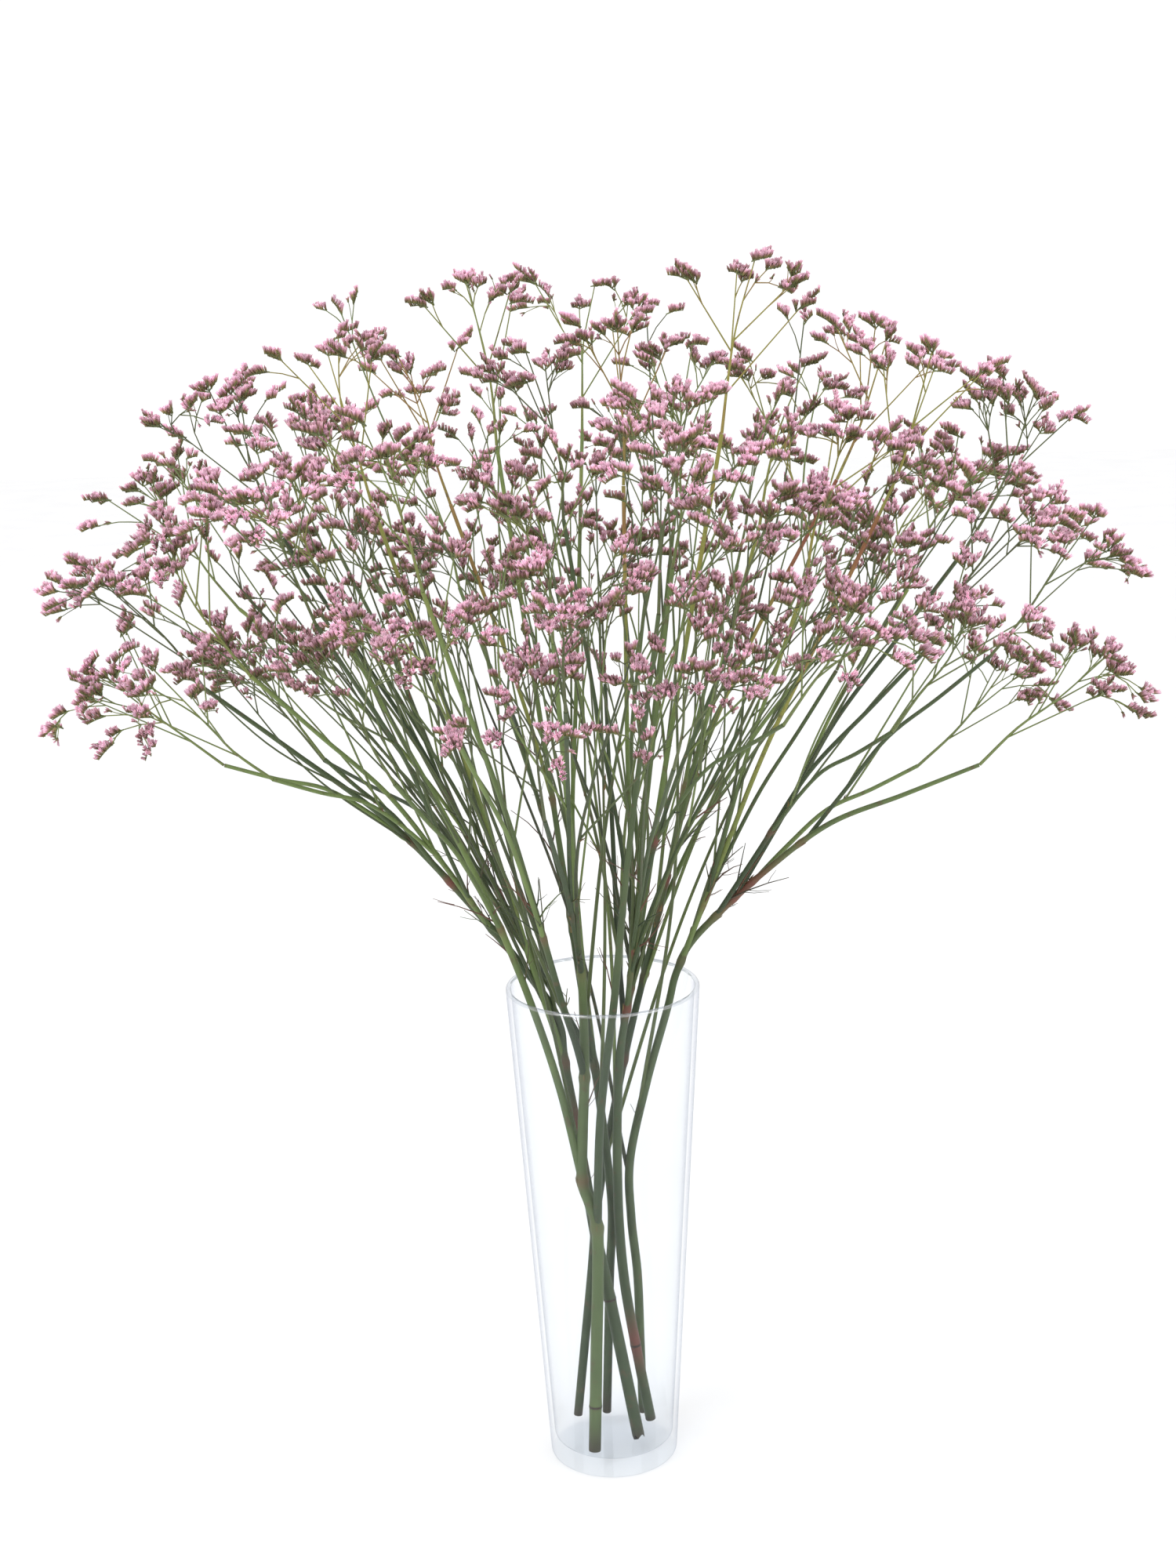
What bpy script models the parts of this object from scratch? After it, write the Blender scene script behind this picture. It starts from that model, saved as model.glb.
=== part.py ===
"""Statice, also called sea lavender: six cut flowering stems standing in a clear tapered glass vase.

Each stem is one green node, a cane that forks into limbs, and every limb ends in a flowering
spray, a node of its own: thin branchlets that end in one-sided spikes set with florets.
Metres, +Z up, with the origin at the centre of the vase's flat base.
"""

import math
import random

import bmesh
import bpy
import numpy as np

MM = 0.001
GAP = 0.3 * MM  # left between touching pieces

VASE_HEIGHT = 300 * MM
RIM_RADIUS = 56.9 * MM
FOOT_RADIUS = 38.4 * MM
WALL = 3.0 * MM
GLASS_FLOOR = 11.0 * MM
FOOT_ROUNDING = 3.0 * MM
FLOOR_ROUNDING = 3.5 * MM
VASE_SEGMENTS = 28

TWIG_SEED = 37
CLEARANCE = 1.0 * MM  # least air between limbs of different stems
RIM_PASS = 48.0 * MM  # how far from the axis a limb may be where it leaves the vase
RIM_PASS_HEIGHT = VASE_HEIGHT + 5 * MM
LIMB_SHARE = 0.78  # radius of a limb where it forks, against the limb that carries it
LIMB_TIP_RADIUS = 1.15 * MM
RIM_MARGIN = 15 * MM  # a limb that forks this far below the rim gets a point of its own there
RISE = 0.16  # how much more upright than its limb a spray stands
ARCH = 0.11  # height of a limb's arch, against how far out it runs
ARCH_AT = 0.45  # where the arch's point lies along the limb
RUN_ON = 0.8  # how far a new limb still follows the one that it leaves
BEND = 0.5 * MM  # step by which a limb is moved aside until it is clear
BEND_TURN = 2.4  # radians from one such try to the next
BENDS_TRIED = 80
CANE_SIDES, LIMB_SIDES, TWIG_SIDES = 6, 4, 3
STEPS = 2  # straight pieces between two points of a route
RIM_SAMPLES = 9  # points of each such piece that are held against the glass
GLASS_AIR = 2 * GAP  # least air there
RIM_HEADROOM = 2 * MM  # how far above the rim they still are

SPRAY_LENGTH = 88 * MM  # from the end of a limb up to the crown of its spray
SPRAY_TWIGS = 5
TWIGS_TRIED = 40
TRY_TURN = 0.1  # of a flat, by which each try turns a branchlet on
TRY_REACH = 0.012  # share by which it draws the branchlet in
TWIG_SWAY = 0.25  # radians
AXIS_BENDS = (0.34, 0.66)  # where the axis bends a little, along the spray
AXIS_SWAY = 3 * MM
AXIS_RADIUS = 1.1 * MM
TWIG_RADIUS = 0.7 * MM
TWIG_TIP_RADIUS = 0.8 * MM
CROWN_RADIUS = 35 * MM
CROWN_FILL = (0.75, 1.05)  # how far out of the crown's radius a branchlet ends
CROWN_DROP = (-4 * MM, 10 * MM)  # how far below the crown it ends
LOW_ROOT = 0.75  # where the lowest branchlet leaves the axis's first stretch
LOW_DROP = 12 * MM
TOP_REACH, TOP_RISE = 0.25, 6 * MM  # of the axis's own end
DROOP = 0.25  # how much of a branchlet's downward lean is kept
SPIKE_LENGTH = 27 * MM
SPIKE_RADIUS = 3.2 * MM
SPIKE_STEPS = 2
NECK = 2.5 * MM  # from the branchlet's full thickness to its spike's
FLORET_RISE = 5.2 * MM
SPIKE_REACH = 7.5 * MM  # of a floret's tip from the spike's line
SPIKE_LIFT = 2 * MM  # of that line above the stalk's

# Points of each cane from its cut end up, as (x, y, z, radius) in millimetres. The foot's height
# follows from the vase's floor.
CANES = {
    "a": ((-12, -24, 0, 3.4), (-9, -20, 85, 3.3), (-7, -16, 153, 3.2), (-15, -14, 183, 3.0),
          (-12, -18, 249, 2.7), (-12, -27, 315, 2.2)),
    "b": ((15, -10, 0, 3.4), (-2, -8, 112, 3.2), (-9, -5, 150, 3.1), (-24, 10, 248, 2.6),
          (-37, 18, 291, 2.2)),
    "c": ((23, 12, 0, 2.9), (9, 6, 105, 2.8), (6, 0, 179, 2.6), (9, -5, 255, 2.3)),
    "d": ((18.5, 22, 0, 2.5), (17, 20, 105, 2.5), (14, 15, 183, 2.4), (38, 14, 278, 2.1),
          (46, 14, 306, 2.0), (64, 16, 331, 1.9)),
    "e": ((-4, 23, 0, 2.5), (0, 14, 110, 2.5), (2, 12, 160, 2.4), (-6, 24, 240, 2.2),
          (-14, 38, 295, 1.9)),
    "f": ((-22, 20, 0, 2.5), (-11, 18, 110, 2.5), (-5, 22, 160, 2.4), (12, 34, 240, 2.2),
          (26, 42, 293, 1.9)),
}

# The limbs of each stem, as (x, y, z of the crown of the limb's spray, number of the limb that
# it forks from, height of that fork), in millimetres. Limb 1 carries the cane on.
LIMBS = {
    "a": ((-25, -120, 605, 0, 0), (-165, -35, 595, 1, 183), (-135, -130, 520, 2, 340),
          (-100, -190, 640, 1, 249), (-85, -215, 560, 4, 345), (-35, -195, 508, 1, 315),
          (-15, -235, 575, 6, 360), (40, -165, 625, 1, 153)),
    "b": ((-275, 0, 552, 0, 0), (-285, 15, 488, 1, 385), (-225, -95, 575, 1, 330),
          (-225, -115, 505, 3, 380), (-200, -15, 515, 1, 360), (-165, -150, 612, 3, 350),
          (-145, 25, 668, 1, 248), (-155, 70, 555, 7, 340)),
    "c": ((86, -10, 706, 0, 0), (20, 40, 675, 1, 300), (-25, -20, 662, 2, 340),
          (50, -85, 640, 1, 285), (85, -175, 600, 4, 340), (45, -215, 535, 4, 325),
          (125, -205, 548, 5, 400), (100, -110, 548, 4, 310)),
    "d": ((282, -20, 487, 0, 0), (285, 50, 550, 1, 380), (250, 0, 628, 1, 345),
          (220, 60, 600, 3, 400), (188, -20, 655, 1, 308), (135, -60, 625, 5, 350),
          (220, -95, 585, 1, 335), (195, -125, 530, 7, 390), (255, 85, 468, 1, 355),
          (175, 20, 560, 5, 340)),
    "e": ((-62, 60, 697, 0, 0), (-105, 115, 655, 1, 400), (-215, 60, 640, 1, 240),
          (-262, 90, 585, 3, 380), (-225, 150, 468, 3, 345), (-185, 165, 620, 3, 410),
          (-105, 210, 585, 1, 330), (-85, 235, 520, 7, 390), (0, 185, 690, 1, 320)),
    "f": ((118, 62, 645, 0, 0), (180, 100, 662, 1, 400), (5, 105, 548, 1, 240),
          (42, 245, 595, 1, 290), (110, 190, 600, 1, 350), (155, 212, 545, 5, 400),
          (215, 180, 572, 1, 330), (62, 130, 655, 4, 350)),
}

UP = np.array((0.0, 0.0, 1.0))


def unit(v):
    return v / np.linalg.norm(v)


def clear_scene():
    for obj in list(bpy.data.objects):
        bpy.data.objects.remove(obj, do_unlink=True)


def principled(name, colour, roughness, **more):
    material = bpy.data.materials.new(name)
    material.use_nodes = True
    shader = material.node_tree.nodes["Principled BSDF"]
    shader.inputs["Base Color"].default_value = (*colour, 1)
    shader.inputs["Roughness"].default_value = roughness
    shader.inputs["Metallic"].default_value = 0
    for socket, value in more.items():
        shader.inputs[socket.replace("_", " ")].default_value = value
    return material


def smooth_path(points, before=None, beyond=None):
    """Points along the Catmull-Rom curve through the given ones.

    The curve comes from before and heads on to beyond, where they are given.
    """
    first = 2 * points[0] - points[1] if before is None else before
    last = 2 * points[-1] - points[-2] if beyond is None else beyond
    rows = [first, *points, last]
    path = []
    for p0, p1, p2, p3 in zip(rows, rows[1:], rows[2:], rows[3:]):
        for t in np.arange(STEPS) / STEPS:
            path.append(0.5 * (2 * p1 + (p2 - p0) * t + (2 * p0 - 5 * p1 + 4 * p2 - p3) * t**2
                               + (3 * p1 - p0 - 3 * p2 + p3) * t**3))
    return path + [points[-1]]


class Space:
    """The tubes placed so far, as capsules, for keeping those of different nodes apart."""

    def __init__(self):
        self.starts, self.ends, self.radii, self.owners = [], [], [], []

    def add(self, owner, points, radii):
        for k in range(len(points) - 1):
            self.starts.append(points[k])
            self.ends.append(points[k + 1])
            self.radii.append(max(radii[k], radii[k + 1]))
            self.owners.append(owner)

    def room(self, owner, points, radii):
        """Least air between these tubes and those of every other node."""
        others = np.array([mine != owner for mine in self.owners], bool)
        if not others.any():
            return math.inf
        starts, ends = np.array(self.starts)[others], np.array(self.ends)[others]
        sizes = np.array(self.radii)[others]
        least = math.inf
        for k in range(len(points) - 1):
            apart = segment_distances(points[k], points[k + 1], starts, ends)
            least = min(least, (apart - sizes).min() - max(radii[k], radii[k + 1]))
        return least


def segment_distances(a, b, starts, ends):
    """Distance from the segment a-b to each segment of starts-ends."""
    d1, d2, r = b - a, ends - starts, a - starts
    a1, e, f = d1 @ d1, (d2 * d2).sum(axis=1), (d2 * r).sum(axis=1)
    c, b1 = r @ d1, d2 @ d1
    denominator = a1 * e - b1 * b1
    s = np.where(denominator > 1e-18, (b1 * f - c * e) / np.maximum(denominator, 1e-18), 0)
    s = np.clip(s, 0, 1)
    t = np.clip((b1 * s + f) / e, 0, 1)
    s = np.clip((b1 * t - c) / a1, 0, 1)
    return np.linalg.norm(r + s[:, None] * d1 - t[:, None] * d2, axis=1)


def inner_radius(height):
    return FOOT_RADIUS + (RIM_RADIUS - FOOT_RADIUS) * height / VASE_HEIGHT - WALL


def inside_vase(points, radii):
    """Whether a limb keeps off the glass on its way up to the rim."""
    for low, high, radius in zip(points, points[1:], radii):
        for share in np.linspace(0, 1, RIM_SAMPLES):
            p = low + (high - low) * share
            reach = math.hypot(p[0], p[1]) + radius + GLASS_AIR
            if p[2] < VASE_HEIGHT + radius + RIM_HEADROOM and reach > inner_radius(min(p[2], VASE_HEIGHT)):
                return False
    return True


def at_height(points, radii, height):
    """Where a limb passes a height: its point, direction and radius there."""
    for k in range(len(points) - 1):
        low, high = points[k], points[k + 1]
        if low[2] <= height < high[2]:
            share = (height - low[2]) / (high[2] - low[2])
            radius = radii[k] + (radii[k + 1] - radii[k]) * share
            return low + (high - low) * share, unit(high - low), radius
    raise ValueError(f"no fork at {height / MM:.0f} mm")


def sideways(direction):
    """Two directions square to this one."""
    first = unit(np.cross(direction, (0.31, 0.95, 0.02)))
    return first, np.cross(direction, first)


def cane_points(rows):
    """A cane's route and radii, with its cut end just clear of the glass floor."""
    points = [np.array(row[:3]) * MM for row in rows]
    radii = [row[3] * MM for row in rows]
    lean = unit(points[1] - points[0] * (1, 1, 0))
    points[0][2] = GLASS_FLOOR + GAP + radii[0] * math.hypot(lean[0], lean[1])
    return points, radii


def limb_route(start, crown):
    """A limb's few points: out past the rim, over in an arch and up to where its spray starts."""
    route = [start]
    if start[2] < VASE_HEIGHT - RIM_MARGIN:
        share = (RIM_PASS_HEIGHT - start[2]) / (crown[2] - start[2])
        over = start + (crown - start) * share
        reach = math.hypot(over[0], over[1])
        over[:2] *= min(1, RIM_PASS / reach)
        route.append(over)
    last = route[-1]
    rise = unit(unit(crown - last) + RISE * UP)
    seat = crown - rise * SPRAY_LENGTH
    spread = math.hypot(seat[0] - last[0], seat[1] - last[1])
    route.append(last + (seat - last) * ARCH_AT + UP * spread * ARCH)
    route.append(seat)
    return route


def limb_path(route, crown, number, base, base_radii, heading, radius):
    """A limb's tube, as points and radii. Limb 1 starts with the whole cane."""
    if number == 1:
        points = smooth_path([*base, *route[1:]], beyond=crown)
        cane_count = STEPS * (len(base) - 1)
        cane_radii = np.interp(np.arange(cane_count) / STEPS, range(len(base)), base_radii)
        limb_radii = np.linspace(base_radii[-1], LIMB_TIP_RADIUS, len(points) - cane_count)
        return points, [*cane_radii, *limb_radii]
    before = route[0] - heading * np.linalg.norm(route[1] - route[0]) * RUN_ON
    points = smooth_path(route, before, crown)
    return points, list(np.linspace(radius, LIMB_TIP_RADIUS, len(points)))


def grow_limbs(space, stem):
    """Every limb of a stem, as (points, radii), bent clear of the other stems."""
    owner = "stem_" + stem
    base, base_radii = cane_points(CANES[stem])
    limbs = []
    for number, (x, y, z, parent, fork) in enumerate(LIMBS[stem], start=1):
        crown = np.array((x, y, z)) * MM
        start, heading, radius = base[-1], None, base_radii[-1]
        if parent:
            start, heading, radius = at_height(*limbs[parent - 1], fork * MM)
            radius *= LIMB_SHARE
        route = limb_route(start, crown)
        side, other = sideways(unit(route[-1] - start))
        for attempt in range(BENDS_TRIED):
            turn = attempt * BEND_TURN
            shift = (side * math.cos(turn) + other * math.sin(turn)) * attempt * BEND
            bent = [route[0], *(p + shift for p in route[1:-1]), route[-1]]
            limb = limb_path(bent, crown, number, base, base_radii, heading, radius)
            if inside_vase(*limb) and space.room(owner, *limb) > CLEARANCE:
                break
        else:
            raise ValueError(f"no clear way for limb {number} of stem {stem}")
        limbs.append(limb)
        space.add(owner, *limb)
    return limbs


def spray_frame(limb, crown):
    """Where a spray starts, the way it leaves its limb, and its own three directions."""
    tip = limb[0][-1]
    along = unit(tip - limb[0][-2])
    rise = unit(crown - tip)
    return tip + along * GAP, along, rise, *sideways(rise)


def twig_end(crown, out, rise, reach, drop, draw):
    """Where a branchlet ends, the way its spike runs on, and the side that its florets favour."""
    end = crown + out * reach - rise * drop
    heading = unit(out * draw.uniform(0.7, 1.1) + UP * draw.uniform(0.3, 0.7) + rise * 0.2)
    upper = UP + rise * 0.5 - out * 0.1
    return end, heading, unit(upper - heading * (upper @ heading))


def spray_axis(start, crown, rise, side, other, draw):
    """A spray's axis, swaying a little to each side."""
    length = np.linalg.norm(crown - start)
    low, high = AXIS_BENDS
    return [start, start + rise * length * low + side * draw.uniform(-AXIS_SWAY, AXIS_SWAY),
            start + rise * length * high + other * draw.uniform(-AXIS_SWAY, AXIS_SWAY)]


def grow_spray(space, owner, limb, crown, draw):
    """A spray's twigs, each as (points, radii, spike's direction, its upper side), axis first."""
    start, along, rise, side, other = spray_frame(limb, crown)
    axis = spray_axis(start, crown, rise, side, other, draw)
    space.add(owner, axis, [AXIS_RADIUS] * len(axis))
    twigs, spikes = [], Space()
    flats = [draw.uniform(0, TWIG_SIDES), 1, 2, 0, draw.randrange(TWIG_SIDES)]
    for k in range(SPRAY_TWIGS):
        for attempt in range(TWIGS_TRIED):
            flat = flats[k] + attempt * TRY_TURN
            turn = draw.uniform(-TWIG_SWAY, TWIG_SWAY) + flat * math.tau / TWIG_SIDES
            out = side * math.cos(turn) + other * math.sin(turn)
            out[2] *= 1 if out[2] > 0 else DROOP
            reach = CROWN_RADIUS * draw.uniform(*CROWN_FILL) * (1 - attempt * TRY_REACH)
            drop = draw.uniform(*CROWN_DROP)
            if k == 0:
                reach, drop, stalk = reach * TOP_REACH, -TOP_RISE, axis
            elif k == 1:
                drop, stalk = drop + LOW_DROP, [axis[0] + (axis[1] - axis[0]) * LOW_ROOT]
            else:
                stalk = [axis[1] + (axis[2] - axis[1]) * (k - 1) / (SPRAY_TWIGS - 1)]
            end, heading, upper = twig_end(crown, out, rise, reach, drop, draw)
            points = [*stalk, end]
            twig, girth = [TWIG_RADIUS] * 2, [SPIKE_REACH] * 2
            spike = [end + upper * SPIKE_LIFT, end + heading * SPIKE_LENGTH + upper * SPIKE_LIFT]
            air = min(space.room(owner, points[-2:], twig), space.room(owner, spike, girth))
            if air > GAP and spikes.room("", spike, girth) > 0:
                space.add(owner, points[-2:], twig)
                space.add(owner, spike, girth)
                spikes.add(k, spike, girth)
                radii = [AXIS_RADIUS, AXIS_RADIUS, TWIG_RADIUS] if k == 0 else [TWIG_RADIUS]
                twigs.append((points, [*radii, TWIG_TIP_RADIUS], heading, upper))
                break
        if k == 0:
            side = unit(upper - along * (upper @ along))  # a branchlet leaves from a flat of the axis
            other = np.cross(along, side)
    return along, twigs


def rings_along(bm, points, radii, sides, upper=None, first=None):
    """Rings of vertices square to the path, the first one square to first where that is given.

    With upper given, a flat of each ring faces it.
    """
    rings = []
    reference = None
    for k, (point, radius) in enumerate(zip(points, radii)):
        before = points[max(k - 1, 0)]
        after = points[min(k + 1, len(points) - 1)]
        along = first if k == 0 and first is not None else unit(after - before)
        if reference is None:
            reference = sideways(along)[0] if upper is None else upper
        reference = unit(reference - along * (reference @ along))
        third = np.cross(along, reference)
        half = math.pi / sides
        ring = []
        for j in range(sides):
            turn = half + math.tau * j / sides
            ring.append(bm.verts.new(point + (reference * math.cos(turn) + third * math.sin(turn)) * radius))
        rings.append(ring)
    return rings


def skin(bm, rings):
    """Walls between the rings, and the two end faces."""
    sides = len(rings[0])
    for low, high in zip(rings, rings[1:]):
        for j in range(sides):
            bm.faces.new((low[j], low[(j + 1) % sides], high[(j + 1) % sides], high[j]))
    bm.faces.new(reversed(rings[0]))
    bm.faces.new(rings[-1])


def object_from(bm, name, materials, collection=None):
    bmesh.ops.recalc_face_normals(bm, faces=bm.faces)
    mesh = bpy.data.meshes.new(name)
    bm.to_mesh(mesh)
    bm.free()
    for material in materials:
        mesh.materials.append(material)
    obj = bpy.data.objects.new(name, mesh)
    (collection or bpy.context.scene.collection).objects.link(obj)
    return obj


def tube(name, points, radii, sides, material, collection=None):
    bm = bmesh.new()
    skin(bm, rings_along(bm, points, radii, sides))
    return object_from(bm, name, [material], collection)


def flowering_twig(name, twig, materials, collection=None, first=None):
    """A branchlet that widens into a pointed spike whose faces are drawn out into florets."""
    points, radii, heading, upper = twig
    bm = bmesh.new()
    steps = [points[-1] + heading * SPIKE_LENGTH * (k / SPIKE_STEPS) for k in range(SPIKE_STEPS + 1)]
    stations = [*points[:-1], points[-1] - heading * NECK, *steps]
    sizes = [*radii, *[SPIKE_RADIUS] * (SPIKE_STEPS + 1)]
    rings = rings_along(bm, stations, sizes, TWIG_SIDES, upper, first)
    skin(bm, rings)
    bmesh.ops.pointmerge(bm, verts=rings[-1], merge_co=steps[-1])
    bm.normal_update()
    spike = {vert for ring in rings[-1 - SPIKE_STEPS:] for vert in ring if vert.is_valid}
    blooming = [face for face in bm.faces if spike.issuperset(face.verts)]
    for face in bmesh.ops.poke(bm, faces=blooming, offset=FLORET_RISE)["faces"]:
        face.material_index = 1
    return object_from(bm, name, materials, collection)


def joined(base, collection):
    """One Boolean union of a collection's shapes onto the base, applied."""
    union = base.modifiers.new("Union", "BOOLEAN")
    union.operation = "UNION"
    union.operand_type = "COLLECTION"
    union.collection = collection
    union.solver = "EXACT"
    bpy.context.view_layer.update()
    evaluated = base.evaluated_get(bpy.context.evaluated_depsgraph_get())
    mesh = bpy.data.meshes.new_from_object(evaluated)
    mesh.name = base.name
    base.modifiers.remove(union)
    base.data = mesh
    for obj in list(collection.objects):
        bpy.data.objects.remove(obj, do_unlink=True)
    bpy.data.collections.remove(collection)
    return base


def new_collection(name):
    collection = bpy.data.collections.new(name)
    bpy.context.scene.collection.children.link(collection)
    return collection


def make_vase(material):
    """A turned glass: flat foot, straight tapered wall, rounded rim, thick floor."""
    slope = (RIM_RADIUS - FOOT_RADIUS) / VASE_HEIGHT
    lip = WALL / 2
    profile = [(0, 0), (FOOT_RADIUS - FOOT_ROUNDING, 0)]
    cut = FOOT_ROUNDING * (1 - math.sqrt(0.5))
    profile.append((FOOT_RADIUS - cut, cut))
    profile.append((FOOT_RADIUS + slope * FOOT_ROUNDING, FOOT_ROUNDING))
    for turn in (0, 60, 120, 180):
        angle = math.radians(turn)
        profile.append((RIM_RADIUS - lip + lip * math.cos(angle), VASE_HEIGHT - lip + lip * math.sin(angle)))
    profile.append((inner_radius(GLASS_FLOOR + FLOOR_ROUNDING), GLASS_FLOOR + FLOOR_ROUNDING))
    profile.append((inner_radius(GLASS_FLOOR) - FLOOR_ROUNDING, GLASS_FLOOR))
    profile.append((0, GLASS_FLOOR))
    bm = bmesh.new()
    line = [bm.verts.new((x, 0, z)) for x, z in profile]
    edges = [bm.edges.new(pair) for pair in zip(line, line[1:])]
    bmesh.ops.spin(bm, geom=[*line, *edges], cent=(0, 0, 0), axis=(0, 0, 1), angle=math.tau,
                   steps=VASE_SEGMENTS, use_merge=True, use_duplicate=False)
    bmesh.ops.remove_doubles(bm, verts=bm.verts, dist=1e-6)
    vase = object_from(bm, "vase", [material])
    vase.data.shade_smooth()
    vase.data.set_sharp_from_angle(angle=math.radians(40))
    return vase


def make_stem(stem, limbs, material):
    """A cane with all of its limbs, fused."""
    collection = new_collection("limbs_" + stem)
    for number, (points, radii) in enumerate(limbs, start=1):
        name = f"limb_{stem}{number}"
        if number == 1:
            base = tube("stem_" + stem, points, radii, CANE_SIDES, material)
        else:
            tube(name, points, radii, LIMB_SIDES, material, collection)
    return joined(base, collection)


def make_spray(name, along, twigs, materials):
    """A spray's axis, branchlets and florets, fused."""
    collection = new_collection("twigs_" + name)
    base = flowering_twig(name, twigs[0], materials, first=along)
    for number, twig in enumerate(twigs[1:], start=1):
        flowering_twig(f"{name}_twig_{number}", twig, materials, collection)
    return joined(base, collection)


def main():
    clear_scene()
    glass = principled("clear_glass", (0.9, 0.95, 0.95), 0.03, Alpha=0.3, IOR=1.5)
    green = principled("green_stem", (0.09, 0.17, 0.05), 0.55)
    pink = principled("mauve_florets", (0.62, 0.28, 0.42), 0.7)
    make_vase(glass)
    space = Space()
    grown = {stem: grow_limbs(space, stem) for stem in CANES}
    for stem, limbs in grown.items():
        make_stem(stem, limbs, green)
    for stem, limbs in grown.items():
        for number, (limb, row) in enumerate(zip(limbs, LIMBS[stem]), start=1):
            name = f"spray_{stem}{number}"
            draw = random.Random(f"{TWIG_SEED} {name}")
            along, twigs = grow_spray(space, name, limb, np.array(row[:3]) * MM, draw)
            if len(twigs) < SPRAY_TWIGS:
                print(name, "has", len(twigs), "branchlets")
            make_spray(name, along, twigs, (green, pink))


main()
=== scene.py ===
import math
import random

import bpy
import numpy as np
from mathutils import Matrix, Vector


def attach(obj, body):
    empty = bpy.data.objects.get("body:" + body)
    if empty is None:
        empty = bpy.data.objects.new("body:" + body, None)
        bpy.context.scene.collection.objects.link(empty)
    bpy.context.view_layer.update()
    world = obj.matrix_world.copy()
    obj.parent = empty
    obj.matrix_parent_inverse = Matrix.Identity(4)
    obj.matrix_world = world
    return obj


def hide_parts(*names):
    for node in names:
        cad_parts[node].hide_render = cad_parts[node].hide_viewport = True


# Pink statice in a clear tapered vase: six cut stems that fork into limbs, a flowering spray on
# every limb, and the glass. Metres, Z up, the vase's foot on the floor at the origin.

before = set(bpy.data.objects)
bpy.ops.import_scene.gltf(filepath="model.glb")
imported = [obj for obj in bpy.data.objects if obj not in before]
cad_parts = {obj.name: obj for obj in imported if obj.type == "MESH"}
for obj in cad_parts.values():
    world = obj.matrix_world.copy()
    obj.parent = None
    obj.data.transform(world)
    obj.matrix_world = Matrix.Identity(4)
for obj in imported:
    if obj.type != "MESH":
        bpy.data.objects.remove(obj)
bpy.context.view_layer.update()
bpy.ops.object.select_all(action="DESELECT")
mm = 0.001
up = np.array((0.0, 0.0, 1.0))


# Small helpers

def unit(v):
    return v / np.linalg.norm(v)


def clamp(share, least=0):
    return min(1, max(least, share))


def bell(away, width):  # 1 in the middle, fading both ways
    return np.exp(-(away / width) ** 2)


def linear(hexColour):  # an sRGB hex colour as linear RGBA
    channels = [int(hexColour[k:k + 2], 16) / 255 for k in (1, 3, 5)]
    return (*[c / 12.92 if c <= 0.04045 else ((c + 0.055) / 1.055) ** 2.4 for c in channels], 1)


def newMaterial(name):
    material = bpy.data.materials.new(name)
    material.use_nodes = True
    material.node_tree.nodes.clear()
    return material, material.node_tree


def newObject(name, data):
    obj = bpy.data.objects.new(name, data)
    bpy.context.scene.collection.objects.link(obj)
    return obj


# Settings go by socket or by property, and links by socket, from a socket or a node's first output
def addNode(tree, kind, settings=(), links=()):
    node = tree.nodes.new("ShaderNode" + kind)
    for key, value in dict(settings).items():
        if key == "stops":
            elements = node.color_ramp.elements
            while len(elements) < len(value):
                elements.new(1)
            for element, (place, colour) in zip(elements, value):
                element.position, element.color = place, linear(colour)
        elif isinstance(key, int) or key in node.inputs:
            node.inputs[key].default_value = value
        else:
            setattr(node, key, value)
    for key, source in dict(links).items():
        tree.links.new(getattr(source, "outputs", [source])[0], node.inputs[key])
    return node


def finishMaterial(material, shader):
    addNode(material.node_tree, "OutputMaterial", links={"Surface": shader})
    return material


# Size of each pattern on the real thing. A noise of scale 1 / size varies over about that length.
grainSize = {"paperFibre": 110 * mm, "stalkBlotch": 22 * mm, "stalkFleck": 5 * mm,
             "petalMottle": 2.4 * mm, "glassRipple": 70 * mm}

# Camera, floor and light

camera = {"place": (-0.00542, -1.2907, 0.7332), "lookDown": 13.61, "roll": -1.524, "lens": 53.1}
studio = {"floor": 6.0, "ambient": 1.07, "aim": (0, 0, 0.45),
          "lamps": {"keyLight": ((-1.6, -1.5, 2.3), 1.5, 26), "fillLight": ((1.8, -1.2, 1.3), 1.6, 9)}}


def setCamera():
    data = bpy.data.cameras.new("photoCamera")
    data.lens = camera["lens"]
    obj = newObject("photoCamera", data)
    pitch = Matrix.Rotation(math.radians(90 - camera["lookDown"]), 4, "X")
    roll = Matrix.Rotation(math.radians(camera["roll"]), 4, "Z")
    obj.matrix_world = Matrix.Translation(camera["place"]) @ pitch @ roll
    bpy.context.scene.camera = obj


def paperWhite():  # matt seamless background paper: even, near white, no gloss
    material, tree = newMaterial("seamless_paper")
    where = addNode(tree, "TexCoord")
    fibre = addNode(tree, "TexNoise", {"Scale": 1 / grainSize["paperFibre"], "Detail": 3},
                    {"Vector": where.outputs["Object"]})
    tone = addNode(tree, "ValToRGB", {"stops": [(0.3, "#f4f4f5"), (0.7, "#f8f8f8")]}, {"Fac": fibre})
    paper = addNode(tree, "BsdfPrincipled", {"Roughness": 0.9, "Specular IOR Level": 0.1},
                    {"Base Color": tone})
    return finishMaterial(material, paper)


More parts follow.
